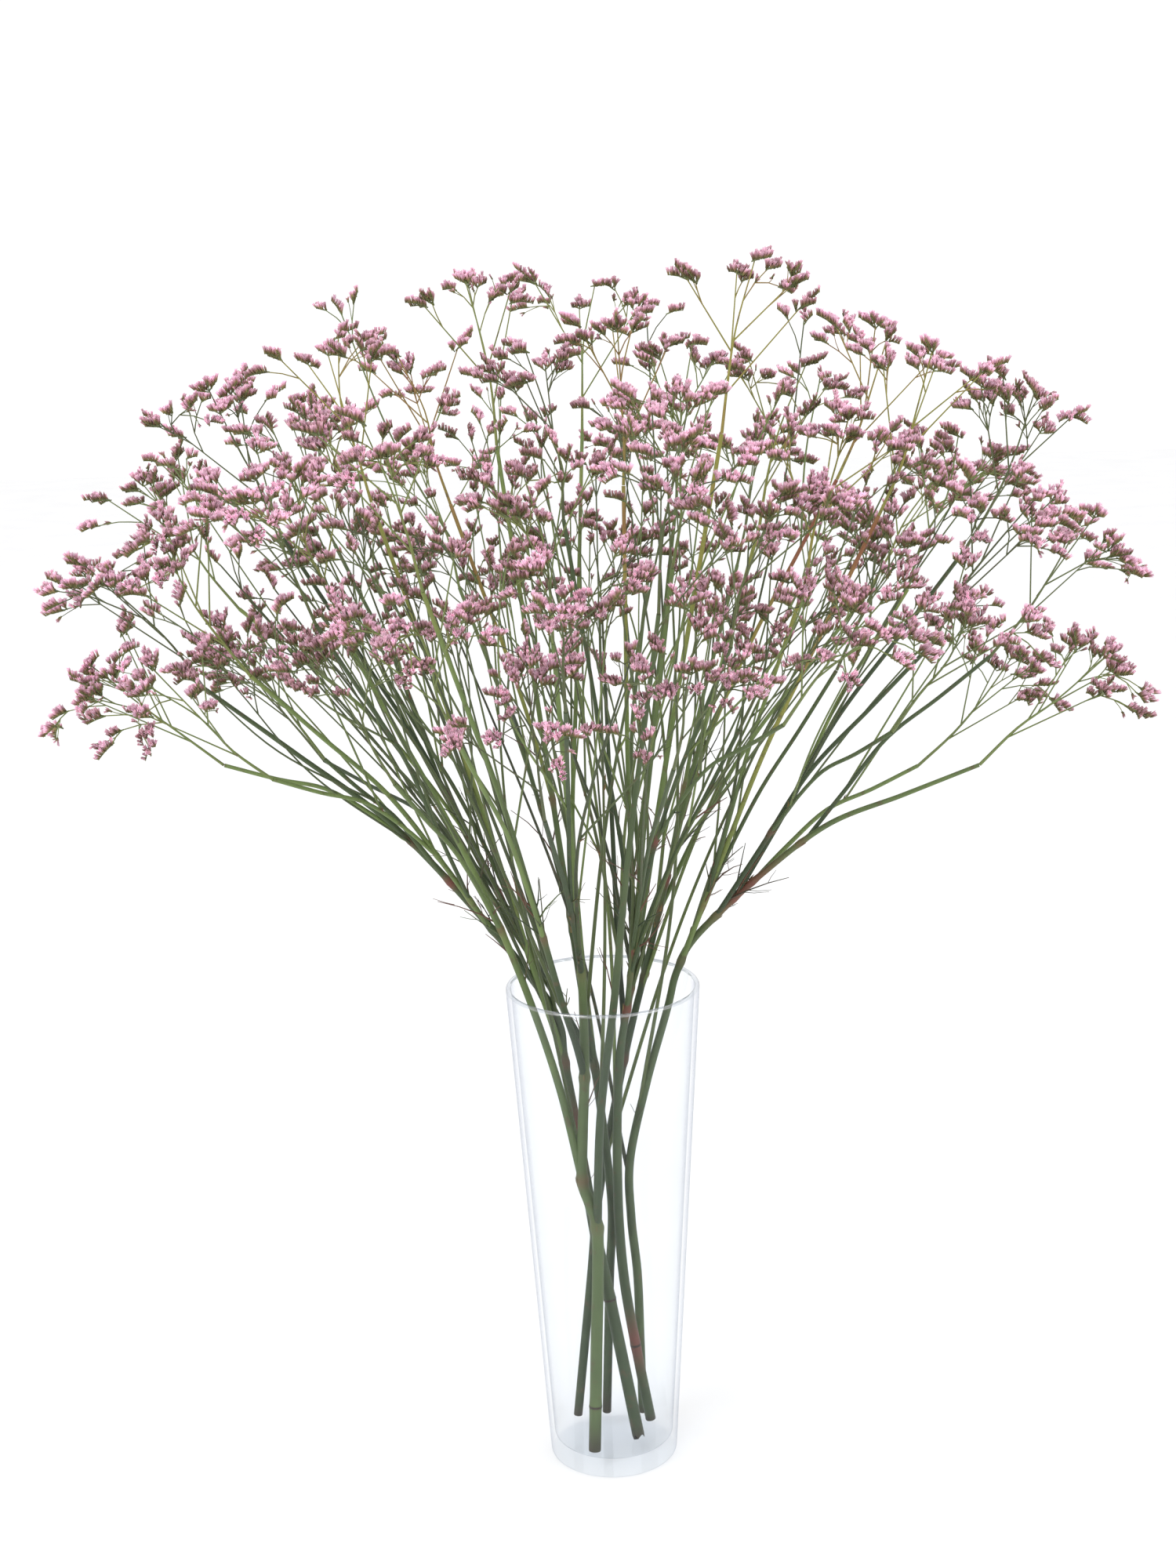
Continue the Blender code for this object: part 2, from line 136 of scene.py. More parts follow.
def setStudio():
    bpy.ops.mesh.primitive_plane_add(size=2 * studio["floor"], location=(0, 0, 0))
    floor = bpy.context.object
    floor.name = "floor"
    floor.data.materials.append(paperWhite())
    world = bpy.data.worlds.new("studio")
    world.use_nodes = True
    glow = world.node_tree.nodes["Background"]
    glow.inputs["Color"].default_value = (1, 1, 1, 1)
    glow.inputs["Strength"].default_value = studio["ambient"]
    bpy.context.scene.world = world
    for name, (place, size, power) in studio["lamps"].items():
        lamp = bpy.data.lights.new(name, "AREA")
        lamp.size, lamp.energy = size, power
        obj = newObject(name, lamp)
        obj.location = place
        obj.rotation_euler = (Vector(studio["aim"]) - Vector(place)).to_track_quat("-Z", "Y").to_euler()
    bpy.context.scene.view_settings.view_transform = "Standard"


setCamera()
setStudio()
print("camera, floor and light are set")


# How the plant grows. The places are the solids' own, worked out by the same rules.

vase = {"height": 300 * mm, "rimRadius": 56.9 * mm, "footRadius": 38.4 * mm, "wall": 3.0 * mm,
        "floor": 11.0 * mm, "footHollow": 0.6 * mm, "footRounding": 3.0 * mm, "floorRounding": 3.5 * mm,
        "segments": 112}

growth = {"seed": 37, "gap": 0.3 * mm, "clearance": 1.0 * mm, "rimPass": 48 * mm,
          "rimMargin": 15 * mm, "rimPassHeight": 305 * mm, "limbShare": 0.78, "tipRadius": 1.15 * mm,
          "rise": 0.16, "arch": 0.11, "archAt": 0.45, "runOn": 0.8, "bend": 0.5 * mm,
          "bendTurn": 2.4, "bendsTried": 80, "steps": 2, "rimSamples": 9, "rimHeadroom": 2 * mm}

spray = {"length": 88 * mm, "twigs": 5, "tries": 40, "tryTurn": 0.1, "tryReach": 0.012,
         "twigSway": 0.25, "axisBends": (0.34, 0.66), "axisSway": 3 * mm, "axisRadius": 1.1 * mm,
         "twigRadius": 0.7 * mm, "crownRadius": 35 * mm, "crownFill": (0.75, 1.05),
         "crownDrop": (-4 * mm, 10 * mm), "lowRoot": 0.75, "lowDrop": 12 * mm, "topReach": 0.25,
         "topRise": 6 * mm, "droop": 0.25, "spikeLength": 27 * mm, "spikeReach": 7.5 * mm,
         "spikeLift": 2 * mm}

# Points of each cane from its cut end up, as (x, y, z, radius) in millimetres
canes = {
    "a": ((-12, -24, 0, 3.4), (-9, -20, 85, 3.3), (-7, -16, 153, 3.2), (-15, -14, 183, 3.0),
          (-12, -18, 249, 2.7), (-12, -27, 315, 2.2)),
    "b": ((15, -10, 0, 3.4), (-2, -8, 112, 3.2), (-9, -5, 150, 3.1), (-24, 10, 248, 2.6),
          (-37, 18, 291, 2.2)),
    "c": ((23, 12, 0, 2.9), (9, 6, 105, 2.8), (6, 0, 179, 2.6), (9, -5, 255, 2.3)),
    "d": ((18.5, 22, 0, 2.5), (17, 20, 105, 2.5), (14, 15, 183, 2.4), (38, 14, 278, 2.1),
          (46, 14, 306, 2.0), (64, 16, 331, 1.9)),
    "e": ((-4, 23, 0, 2.5), (0, 14, 110, 2.5), (2, 12, 160, 2.4), (-6, 24, 240, 2.2),
          (-14, 38, 295, 1.9)),
    "f": ((-22, 20, 0, 2.5), (-11, 18, 110, 2.5), (-5, 22, 160, 2.4), (12, 34, 240, 2.2),
          (26, 42, 293, 1.9)),
}

# The limbs of each stem, as (x, y, z of the crown of its spray, number of the limb that it forks
# from, height of that fork), in millimetres. Limb 1 carries the cane on.
limbs = {
    "a": ((-25, -120, 605, 0, 0), (-165, -35, 595, 1, 183), (-135, -130, 520, 2, 340),
          (-100, -190, 640, 1, 249), (-85, -215, 560, 4, 345), (-35, -195, 508, 1, 315),
          (-15, -235, 575, 6, 360), (40, -165, 625, 1, 153)),
    "b": ((-275, 0, 552, 0, 0), (-285, 15, 488, 1, 385), (-225, -95, 575, 1, 330),
          (-225, -115, 505, 3, 380), (-200, -15, 515, 1, 360), (-165, -150, 612, 3, 350),
          (-145, 25, 668, 1, 248), (-155, 70, 555, 7, 340)),
    "c": ((86, -10, 706, 0, 0), (20, 40, 675, 1, 300), (-25, -20, 662, 2, 340),
          (50, -85, 640, 1, 285), (85, -175, 600, 4, 340), (45, -215, 535, 4, 325),
          (125, -205, 548, 5, 400), (100, -110, 548, 4, 310)),
    "d": ((282, -20, 487, 0, 0), (285, 50, 550, 1, 380), (250, 0, 628, 1, 345),
          (220, 60, 600, 3, 400), (188, -20, 655, 1, 308), (135, -60, 625, 5, 350),
          (220, -95, 585, 1, 335), (195, -125, 530, 7, 390), (255, 85, 468, 1, 355),
          (175, 20, 560, 5, 340)),
    "e": ((-62, 60, 697, 0, 0), (-105, 115, 655, 1, 400), (-215, 60, 640, 1, 240),
          (-262, 90, 585, 3, 380), (-225, 150, 468, 3, 345), (-185, 165, 620, 3, 410),
          (-105, 210, 585, 1, 330), (-85, 235, 520, 7, 390), (0, 185, 690, 1, 320)),
    "f": ((118, 62, 645, 0, 0), (180, 100, 662, 1, 400), (5, 105, 548, 1, 240),
          (42, 245, 595, 1, 290), (110, 190, 600, 1, 350), (155, 212, 545, 5, 400),
          (215, 180, 572, 1, 330), (62, 130, 655, 4, 350)),
}


def catmull(p0, p1, p2, p3, t):
    return 0.5 * (2 * p1 + (p2 - p0) * t + (2 * p0 - 5 * p1 + 4 * p2 - p3) * t**2
                  + (3 * p1 - p0 - 3 * p2 + p3) * t**3)


def smoothPath(points, before=None, beyond=None):
    first = 2 * points[0] - points[1] if before is None else before
    last = 2 * points[-1] - points[-2] if beyond is None else beyond
    rows = [first, *points, last]
    path = [catmull(*span, t) for span in zip(rows, rows[1:], rows[2:], rows[3:])
            for t in np.arange(growth["steps"]) / growth["steps"]]
    return path + [points[-1]]


class Space:  # the tubes placed so far, each as (owner, start, end, radius)

    def __init__(self):
        self.tubes = []

    def add(self, owner, points, radii):
        for k in range(len(points) - 1):
            self.tubes.append((owner, points[k], points[k + 1], max(radii[k], radii[k + 1])))

    def room(self, owner, points, radii):  # least air between these tubes and every other node's
        others = [tube[1:] for tube in self.tubes if tube[0] != owner]
        if not others:
            return math.inf
        starts, ends, sizes = (np.array(column) for column in zip(*others))
        least = math.inf
        for k in range(len(points) - 1):
            apart = segmentDistances(points[k], points[k + 1], starts, ends)
            least = min(least, (apart - sizes).min() - max(radii[k], radii[k + 1]))
        return least


def segmentDistances(a, b, starts, ends):
    d1, d2, r = b - a, ends - starts, a - starts
    a1, e, f = d1 @ d1, (d2 * d2).sum(axis=1), (d2 * r).sum(axis=1)
    c, b1 = r @ d1, d2 @ d1
    denominator = a1 * e - b1 * b1
    s = np.where(denominator > 1e-18, (b1 * f - c * e) / np.maximum(denominator, 1e-18), 0)
    s = np.clip(s, 0, 1)
    t = np.clip((b1 * s + f) / e, 0, 1)
    s = np.clip((b1 * t - c) / a1, 0, 1)
    return np.linalg.norm(r + s[:, None] * d1 - t[:, None] * d2, axis=1)


def innerRadius(height):
    taper = (vase["rimRadius"] - vase["footRadius"]) / vase["height"]
    return vase["footRadius"] + taper * height - vase["wall"]


def insideVase(points, radii):
    for low, high, radius in zip(points, points[1:], radii):
        for share in np.linspace(0, 1, growth["rimSamples"]):
            p = low + (high - low) * share
            reach = math.hypot(p[0], p[1]) + radius + 2 * growth["gap"]
            passed = p[2] >= vase["height"] + radius + growth["rimHeadroom"]
            if not passed and reach > innerRadius(min(p[2], vase["height"])):
                return False
    return True


def atHeight(points, radii, height):
    for k in range(len(points) - 1):
        low, high = points[k], points[k + 1]
        if low[2] <= height < high[2]:
            share = (height - low[2]) / (high[2] - low[2])
            return (low + (high - low) * share, unit(high - low),
                    radii[k] + (radii[k + 1] - radii[k]) * share)
    raise ValueError(f"no fork at {height / mm:.0f} mm")


def sideways(direction):
    first = unit(np.cross(direction, (0.31, 0.95, 0.02)))
    return first, np.cross(direction, first)


def across(direction, turn):
    side, other = sideways(direction)
    return side * math.cos(turn) + other * math.sin(turn)


def canePoints(rows):
    points = [np.array(row[:3]) * mm for row in rows]
    radii = [row[3] * mm for row in rows]
    lean = unit(points[1] - points[0] * (1, 1, 0))
    points[0][2] = vase["floor"] + growth["gap"] + radii[0] * math.hypot(lean[0], lean[1])
    return points, radii


def limbRoute(start, crown):
    route = [start]
    if start[2] < vase["height"] - growth["rimMargin"]:
        over = start + (crown - start) * (growth["rimPassHeight"] - start[2]) / (crown[2] - start[2])
        over[:2] *= min(1, growth["rimPass"] / math.hypot(over[0], over[1]))
        route.append(over)
    last = route[-1]
    rise = unit(unit(crown - last) + growth["rise"] * up)
    seat = crown - rise * spray["length"]
    spread = math.hypot(seat[0] - last[0], seat[1] - last[1])
    route.append(last + (seat - last) * growth["archAt"] + up * spread * growth["arch"])
    route.append(seat)
    return route


def limbPath(route, crown, number, base, baseRadii, heading, radius):
    if number == 1:
        steps = growth["steps"]
        points = smoothPath([*base, *route[1:]], beyond=crown)
        caneCount = steps * (len(base) - 1)
        caneRadii = np.interp(np.arange(caneCount) / steps, range(len(base)), baseRadii)
        limbRadii = np.linspace(baseRadii[-1], growth["tipRadius"], len(points) - caneCount)
        return points, [*caneRadii, *limbRadii]
    before = route[0] - heading * np.linalg.norm(route[1] - route[0]) * growth["runOn"]
    points = smoothPath(route, before, crown)
    return points, list(np.linspace(radius, growth["tipRadius"], len(points)))


def growLimbs(space, stem):
    owner = "stem_" + stem
    base, baseRadii = canePoints(canes[stem])
    grown = []
    for number, (x, y, z, parent, fork) in enumerate(limbs[stem], start=1):
        crown = np.array((x, y, z)) * mm
        start, heading, radius = base[-1], None, baseRadii[-1]
        if parent:
            start, heading, radius = atHeight(*grown[parent - 1], fork * mm)
            radius *= growth["limbShare"]
        route = limbRoute(start, crown)
        straight = unit(route[-1] - start)
        for attempt in range(growth["bendsTried"]):
            shift = across(straight, attempt * growth["bendTurn"]) * attempt * growth["bend"]
            bent = [route[0], *(p + shift for p in route[1:-1]), route[-1]]
            limb = limbPath(bent, crown, number, base, baseRadii, heading, radius)
            if insideVase(*limb) and space.room(owner, *limb) > growth["clearance"]:
                break
        grown.append(limb)
        space.add(owner, *limb)
    return grown


def twigEnd(crown, out, rise, reach, drop, draw):
    end = crown + out * reach - rise * drop
    heading = unit(out * draw.uniform(0.7, 1.1) + up * draw.uniform(0.3, 0.7) + rise * 0.2)
    upper = up + rise * 0.5 - out * 0.1
    return end, heading, unit(upper - heading * (upper @ heading))


def growSpray(space, owner, limb, crown, draw):  # five twigs, each (points, heading, upper)
    tip = limb[0][-1]
    along = unit(tip - limb[0][-2])
    rise = unit(crown - tip)
    side, other = sideways(rise)
    start = tip + along * growth["gap"]
    length = np.linalg.norm(crown - start)
    low, high = spray["axisBends"]
    sway = spray["axisSway"]
    axis = [start, start + rise * length * low + side * draw.uniform(-sway, sway),
            start + rise * length * high + other * draw.uniform(-sway, sway)]
    space.add(owner, axis, [spray["axisRadius"]] * len(axis))
    twigs, spikes = [], Space()
    flats = [draw.uniform(0, 3), 1, 2, 0, draw.randrange(3)]
    for k in range(spray["twigs"]):
        for attempt in range(spray["tries"]):
            flat = flats[k] + attempt * spray["tryTurn"]
            turn = draw.uniform(-spray["twigSway"], spray["twigSway"]) + flat * math.tau / 3
            out = side * math.cos(turn) + other * math.sin(turn)
            out[2] *= 1 if out[2] > 0 else spray["droop"]
            reach = spray["crownRadius"] * draw.uniform(*spray["crownFill"])
            reach *= 1 - attempt * spray["tryReach"]
            drop = draw.uniform(*spray["crownDrop"])
            if k == 0:
                reach, drop, stalk = reach * spray["topReach"], -spray["topRise"], axis
            elif k == 1:
                drop += spray["lowDrop"]
                stalk = [axis[0] + (axis[1] - axis[0]) * spray["lowRoot"]]
            else:
                stalk = [axis[1] + (axis[2] - axis[1]) * (k - 1) / (spray["twigs"] - 1)]
            end, heading, upper = twigEnd(crown, out, rise, reach, drop, draw)
            points = [*stalk, end]
            twig, girth = [spray["twigRadius"]] * 2, [spray["spikeReach"]] * 2
            lift = upper * spray["spikeLift"]
            spike = [end + lift, end + heading * spray["spikeLength"] + lift]
            air = min(space.room(owner, points[-2:], twig), space.room(owner, spike, girth))
            if air > growth["gap"] and spikes.room("", spike, girth) > 0:
                space.add(owner, points[-2:], twig)
                space.add(owner, spike, girth)
                spikes.add(k, spike, girth)
                twigs.append((points, heading, upper))
                break
        if k == 0:
            side = unit(upper - along * (upper @ along))
            other = np.cross(along, side)
    return rise, twigs


space = Space()
grown = {stem: growLimbs(space, stem) for stem in canes}
sprays = {}
for stem, rows in limbs.items():
    for number, (limb, row) in enumerate(zip(grown[stem], rows), start=1):
        name = f"spray_{stem}{number}"
        draw = random.Random(f"{growth['seed']} {name}")
        crown = np.array(row[:3]) * mm
        sprays[name] = (crown, *growSpray(space, name, limb, crown, draw))
print(len(sprays), "sprays have grown")


# Meshes are gathered in patches. Each vertex keeps a tone, three numbers that its material reads,
# and a grain, a place round and along its stalk that streaks follow without a seam.

def newPatch():
    return {"count": 0, "verts": [], "faces": [], "slots": [], "tone": [], "grain": []}


def addShape(patch, verts, faces, slot, tone, grain):
    start = patch["count"]
    patch["verts"].append(verts)
    patch["faces"] += [tuple(start + v for v in face) for face in faces]
    patch["slots"] += [slot] * len(faces)
    patch["tone"].append(np.broadcast_to(tone, (len(verts), 3)))
    patch["grain"].append(np.broadcast_to(grain, (len(verts), 3)))
    patch["count"] += len(verts)


def addTube(patch, line, radii, sides, slot, tone, ragged=None):
    line = np.asarray(line)
    radii = np.asarray(radii)
    along = np.gradient(line, axis=0)
    along /= np.linalg.norm(along, axis=1)[:, None]
    reference = sideways(unit(line[-1] - line[0]))[0]
    side = reference - along * (along @ reference)[:, None]
    side /= np.linalg.norm(side, axis=1)[:, None]
    other = np.cross(along, side)
    turns = np.arange(sides) / sides * math.tau
    spokes = side[:, None] * np.cos(turns)[None, :, None] + other[:, None] * np.sin(turns)[None, :, None]
    verts = line[:, None] + spokes * radii[:, None, None]
    if ragged is not None:
        verts[0] += along[0] * ragged[:, None]
    run = np.concatenate([[0], np.cumsum(np.linalg.norm(np.diff(line, axis=0), axis=1))])
    grain = np.empty((len(line), sides, 3))
    grain[..., 0], grain[..., 1], grain[..., 2] = np.cos(turns), np.sin(turns), run[:, None]
    grain[..., :2] *= 1 + patch["count"] % 97  # each stalk has streaks of its own
    tone = np.broadcast_to(tone, (len(line), 3))
    ring = np.arange(sides)
    after = (ring + 1) % sides
    rows = np.arange(len(line) - 1)[:, None] * sides
    quads = np.stack([rows + ring, rows + after, rows + sides + after, rows + sides + ring], axis=-1)
    top = (len(line) - 1) * sides
    faces = [*map(tuple, quads.reshape(-1, 4).tolist()), tuple(reversed(range(sides))),
             tuple(range(top, top + sides))]
    addShape(patch, verts.reshape(-1, 3), faces, slot, np.repeat(tone, sides, axis=0),
             grain.reshape(-1, 3))


def addCopies(patch, model, places, slot):  # places are (point, lean, spin, size, tone)
    if not places:
        return
    points, lean, spin, size, tone = (np.array(column) for column in zip(*places))
    first = np.cross(lean, (0.27, -0.41, 0.87))
    first /= np.linalg.norm(first, axis=1)[:, None]
    third = np.cross(lean, first)
    side = first * np.cos(spin)[:, None] + third * np.sin(spin)[:, None]
    axes = np.stack([side, np.cross(lean, side), lean], axis=1) * size[:, None, None]
    verts = points[:, None] + np.einsum("vk,ckx->cvx", model["verts"], axes)
    tones = np.repeat(tone[:, None].astype(float), len(model["verts"]), axis=1)
    tones[..., 0] = model["rise"]
    for k in range(len(places)):
        addShape(patch, verts[k], model["faces"], slot, tones[k], model["verts"] * 200)


def makePiece(name, patch, materials):
    mesh = bpy.data.meshes.new(name)
    mesh.from_pydata(np.concatenate(patch["verts"]), [], patch["faces"])
    for kind in ("tone", "grain"):
        attribute = mesh.attributes.new(kind, "FLOAT_VECTOR", "POINT")
        attribute.data.foreach_set("vector", np.concatenate(patch[kind]).astype(np.float32).ravel())
    mesh.polygons.foreach_set("material_index", np.array(patch["slots"], np.int32))
    for material in materials:
        mesh.materials.append(material)
    mesh.shade_smooth()
    mesh.set_sharp_from_angle(angle=math.radians(50))
    piece = newObject(name, mesh)
    print(name, "has", sum(len(face) - 2 for face in patch["faces"]), "triangles")
    return piece


# Statice florets, each modelled once: a papery funnel, a narrow calyx and a shut bud, on a scale

floret = {"height": 5.2 * mm, "throat": 0.42 * mm, "lip": 1.15 * mm, "notch": 0.55, "lipDrop": 1.0 * mm,
          "calyxLip": 0.78 * mm, "budGirth": 0.68 * mm, "scaleLength": 3.1 * mm, "scaleGirth": 0.68 * mm,
          "scaleLean": 0.2}

bract = {"foot": 0.75 * mm, "top": 0.35 * mm, "length": 3 * mm, "place": 1.2 * mm,
         "bend": (0.5 * mm, 0, 1.5 * mm), "tip": 0.25, "tone": 0.55}


def editAll():  # into edit mode with the whole mesh selected
    bpy.ops.object.mode_set(mode="EDIT")
    bpy.ops.mesh.select_all(action="SELECT")


def endEdit():
    bpy.ops.object.mode_set(mode="OBJECT")


def selectWhere(obj, test):  # from object mode into edit mode with just these vertices selected
    bpy.ops.object.mode_set(mode="EDIT")
    bpy.ops.mesh.select_mode(type="VERT")
    bpy.ops.mesh.select_all(action="DESELECT")
    endEdit()
    for vert in obj.data.vertices:
        vert.select = test(vert)
    bpy.ops.object.mode_set(mode="EDIT")


def turnedCup(name, rings, sides):  # rings of (radius, height), each extruded from the one below
    bpy.ops.mesh.primitive_circle_add(vertices=sides, radius=rings[0][0], fill_type="NGON",
                                      location=(0, 0, rings[0][1]))
    cup = bpy.context.object
    cup.name = name
    bpy.ops.object.transform_apply(location=True)
    editAll()
    for (radius, height), (nextRadius, nextHeight) in zip(rings, rings[1:]):
        lift = {"value": (0, 0, nextHeight - height)}
        bpy.ops.mesh.extrude_region_move(TRANSFORM_OT_translate=lift)
        share = nextRadius / radius
        bpy.ops.transform.resize(value=(share, share, 1))
    endEdit()
    return cup


def dishTop(cup, depth, lobed):  # five lobes stand round the lip, and its middle is drawn down
    top = max(vert.co.z for vert in cup.data.vertices) - 1e-6
    selectWhere(cup, lambda vert: vert.co.z > top)
    if lobed:
        corners = len(cup.data.vertices)
        bpy.ops.mesh.select_mode(type="EDGE")
        bpy.ops.mesh.subdivide(number_cuts=1)
        endEdit()
        selectWhere(cup, lambda vert: vert.co.z > top and vert.index >= corners)
        bpy.ops.transform.resize(value=(floret["notch"], floret["notch"], 1))
        bpy.ops.transform.translate(value=(0, 0, -floret["lipDrop"]))
        endEdit()
        selectWhere(cup, lambda vert: vert.co.z > top - floret["lipDrop"] * 1.01)
    bpy.ops.mesh.select_mode(type="FACE")
    bpy.ops.mesh.poke(offset=-depth)
    endEdit()
    return cup


def addScale(cup, turn):  # a pointed bract scale that holds the floret's foot
    length, girth = floret["scaleLength"], floret["scaleGirth"]
    place = (math.cos(turn) * girth * 0.8, math.sin(turn) * girth * 0.8, length * 0.4)
    bpy.ops.mesh.primitive_cone_add(vertices=3, radius1=girth, radius2=0, depth=length,
                                    location=place, rotation=(0, floret["scaleLean"], turn))
    cup.select_set(True)
    bpy.context.view_layer.objects.active = cup
    bpy.ops.object.join()
    editAll()
    bpy.ops.mesh.normals_make_consistent(inside=False)
    endEdit()
    return cup


def asModel(cup):  # its numbers, for copying, and the object removed
    mesh = cup.data
    verts = np.array([vert.co for vert in mesh.vertices])
    model = {"verts": verts, "faces": [tuple(face.vertices) for face in mesh.polygons],
             "rise": np.clip(verts[:, 2] / floret["height"], 0, 1)}
    bpy.data.objects.remove(cup, do_unlink=True)
    return model


def modelFlorets():
    tall, throat = floret["height"], floret["throat"]
    bpy.ops.object.select_all(action="DESELECT")
    models = {}
    for name, lip, top, depth, sides, lobed, turn in (
            ("bloom", floret["lip"], tall, tall * 0.35, 5, True, 0.4),
            ("calyx", floret["calyxLip"], tall * 0.86, tall * 0.16, 5, False, 1.1),
            ("bud", floret["budGirth"], tall * 0.5, -tall * 0.34, 4, False, 0.2)):
        cup = dishTop(turnedCup(name, [(throat, 0), (lip, top)], sides), depth, lobed)
        models[name] = asModel(addScale(cup, turn))
    return models


def modelScale():  # the small dry scale at each fork, bent over at its tip
    bpy.ops.mesh.primitive_cone_add(vertices=5, radius1=bract["foot"], radius2=bract["top"],
                                    depth=bract["length"], location=(0, 0, bract["place"]))
    scale = bpy.context.object
    selectWhere(scale, lambda vert: vert.co.z > 0)
    bpy.ops.mesh.extrude_region_move(TRANSFORM_OT_translate={"value": bract["bend"]})
    bpy.ops.transform.resize(value=(bract["tip"], bract["tip"], 1))
    endEdit()
    bpy.ops.object.transform_apply(location=True)
    model = asModel(scale)
    model["rise"] = np.full(len(model["verts"]), bract["tone"])
    return model


florets = modelFlorets()
forkScale = modelScale()
print("modelled one", ", one ".join(florets))


# Materials

# Waxy sea lavender stalk, as it grew: streaked olive green with brown flecks, rust red at its joints
def stalkGreen():
    material, tree = newMaterial("waxy_statice_stalk")
    tones = addNode(tree, "Attribute", {"attribute_name": "tone"})
    tone = addNode(tree, "SeparateXYZ", links={0: tones.outputs["Vector"]})
    grain = addNode(tree, "Attribute", {"attribute_name": "grain"})
    long = addNode(tree, "Mapping", {"Scale": (1.0, 1.0, 60)}, {"Vector": grain.outputs["Vector"]})
    streak = addNode(tree, "TexNoise", {"Scale": 1.6, "Detail": 4, "Roughness": 0.6},
                     {"Vector": long.outputs["Vector"]})
    where = addNode(tree, "TexCoord")
    blotch = addNode(tree, "TexNoise", {"Scale": 1 / grainSize["stalkBlotch"], "Detail": 2},
                     {"Vector": where.outputs["Object"]})
    drift = addNode(tree, "Math", {"operation": "MULTIPLY_ADD", 1: 0.2, 2: -0.1}, {0: blotch})
    shade = addNode(tree, "Math", {"operation": "ADD"}, {0: tone.outputs["Y"], 1: drift})
    hue = addNode(tree, "ValToRGB", {"stops": [
        (0.0, "#273024"), (0.2, "#3b492f"), (0.42, "#55653d"), (0.6, "#6d8047"), (0.78, "#8f8d43"),
        (0.9, "#8f6440"), (1.0, "#85483a")]}, {"Fac": shade})
    lit = addNode(tree, "Math", {"operation": "MULTIPLY_ADD", 1: 0.9, 2: 0.6}, {0: streak})
    streaked = addNode(tree, "HueSaturation", links={"Color": hue, "Value": lit})
    blushed = addNode(tree, "Mix", {"data_type": "RGBA", 7: linear("#77403a")},
                      {"Factor": tone.outputs["X"], 6: streaked})
    fleck = addNode(tree, "TexNoise", {"Scale": 1 / grainSize["stalkFleck"], "Detail": 3},
                    {"Vector": where.outputs["Object"]})
    flecks = addNode(tree, "MapRange", {"From Min": 0.6, "From Max": 0.7, "To Max": 0.55},
                     {"Value": fleck})
    flecked = addNode(tree, "Mix", {"data_type": "RGBA", 7: linear("#5b4c39")},
                      {"Factor": flecks, 6: blushed.outputs[2]})
    scarred = addNode(tree, "Mix", {"data_type": "RGBA", 7: linear("#3b332b")},
                      {"Factor": tone.outputs["Z"], 6: flecked.outputs[2]})
    bump = addNode(tree, "Bump", {"Strength": 0.35, "Distance": 0.4 * mm}, {"Height": streak})
    gloss = addNode(tree, "Math", {"operation": "MULTIPLY_ADD", 1: 0.25, 2: 0.38}, {0: streak})
    stalk = addNode(tree, "BsdfPrincipled", {"Specular IOR Level": 0.4},
                    {"Base Color": scarred.outputs[2], "Roughness": gloss, "Normal": bump})
    return finishMaterial(material, stalk)


# Papery statice floret, dry and matt: green scales, a tan calyx, pink lobes that pale at the tip
def papery():
    material, tree = newMaterial("papery_statice_floret")
    tones = addNode(tree, "Attribute", {"attribute_name": "tone"})
    tone = addNode(tree, "SeparateXYZ", links={0: tones.outputs["Vector"]})
    fresh = addNode(tree, "ValToRGB", {"stops": [
        (0.0, "#64683b"), (0.28, "#877250"), (0.5, "#bb8e93"), (0.74, "#e8b2cd"), (1.0, "#ffe8f3")]},
                    {"Fac": tone.outputs["X"]})
    fadedAndShaded = addNode(tree, "ValToRGB", {"stops": [
        (0.0, "#50542f"), (0.3, "#645038"), (0.55, "#855f5f"), (0.82, "#b1868f"), (1.0, "#d9b0bd")]},
                    {"Fac": tone.outputs["X"]})
    # Tone Z mixes in the dull brown colours: for florets that have aged, and as painted shade for
    # florets deep in the bunch
    mixed = addNode(tree, "Mix", {"data_type": "RGBA"},
                    {"Factor": tone.outputs["Z"], 6: fadedAndShaded, 7: fresh})
    where = addNode(tree, "TexCoord")
    mottle = addNode(tree, "TexNoise", {"Scale": 1 / grainSize["petalMottle"], "Detail": 2},
                     {"Vector": where.outputs["Object"]})
    shade = addNode(tree, "Math", {"operation": "MULTIPLY_ADD", 1: 0.62, 2: 0.8}, {0: tone.outputs["Y"]})
    mottled = addNode(tree, "Math", {"operation": "MULTIPLY_ADD", 1: 0.3, 2: 0.85}, {0: mottle})
    value = addNode(tree, "Math", {"operation": "MULTIPLY"}, {0: shade, 1: mottled})
    toned = addNode(tree, "HueSaturation", links={"Color": mixed.outputs[2], "Value": value})
    petal = addNode(tree, "BsdfPrincipled", {
        "Roughness": 0.72, "Specular IOR Level": 0.25, "Sheen Weight": 0.15}, {"Base Color": toned})
    return finishMaterial(material, petal)


glassy = {"mirrorPower": 4.0, "mirrorEdgeOn": 0.6, "mirrorRoughness": 0.03}


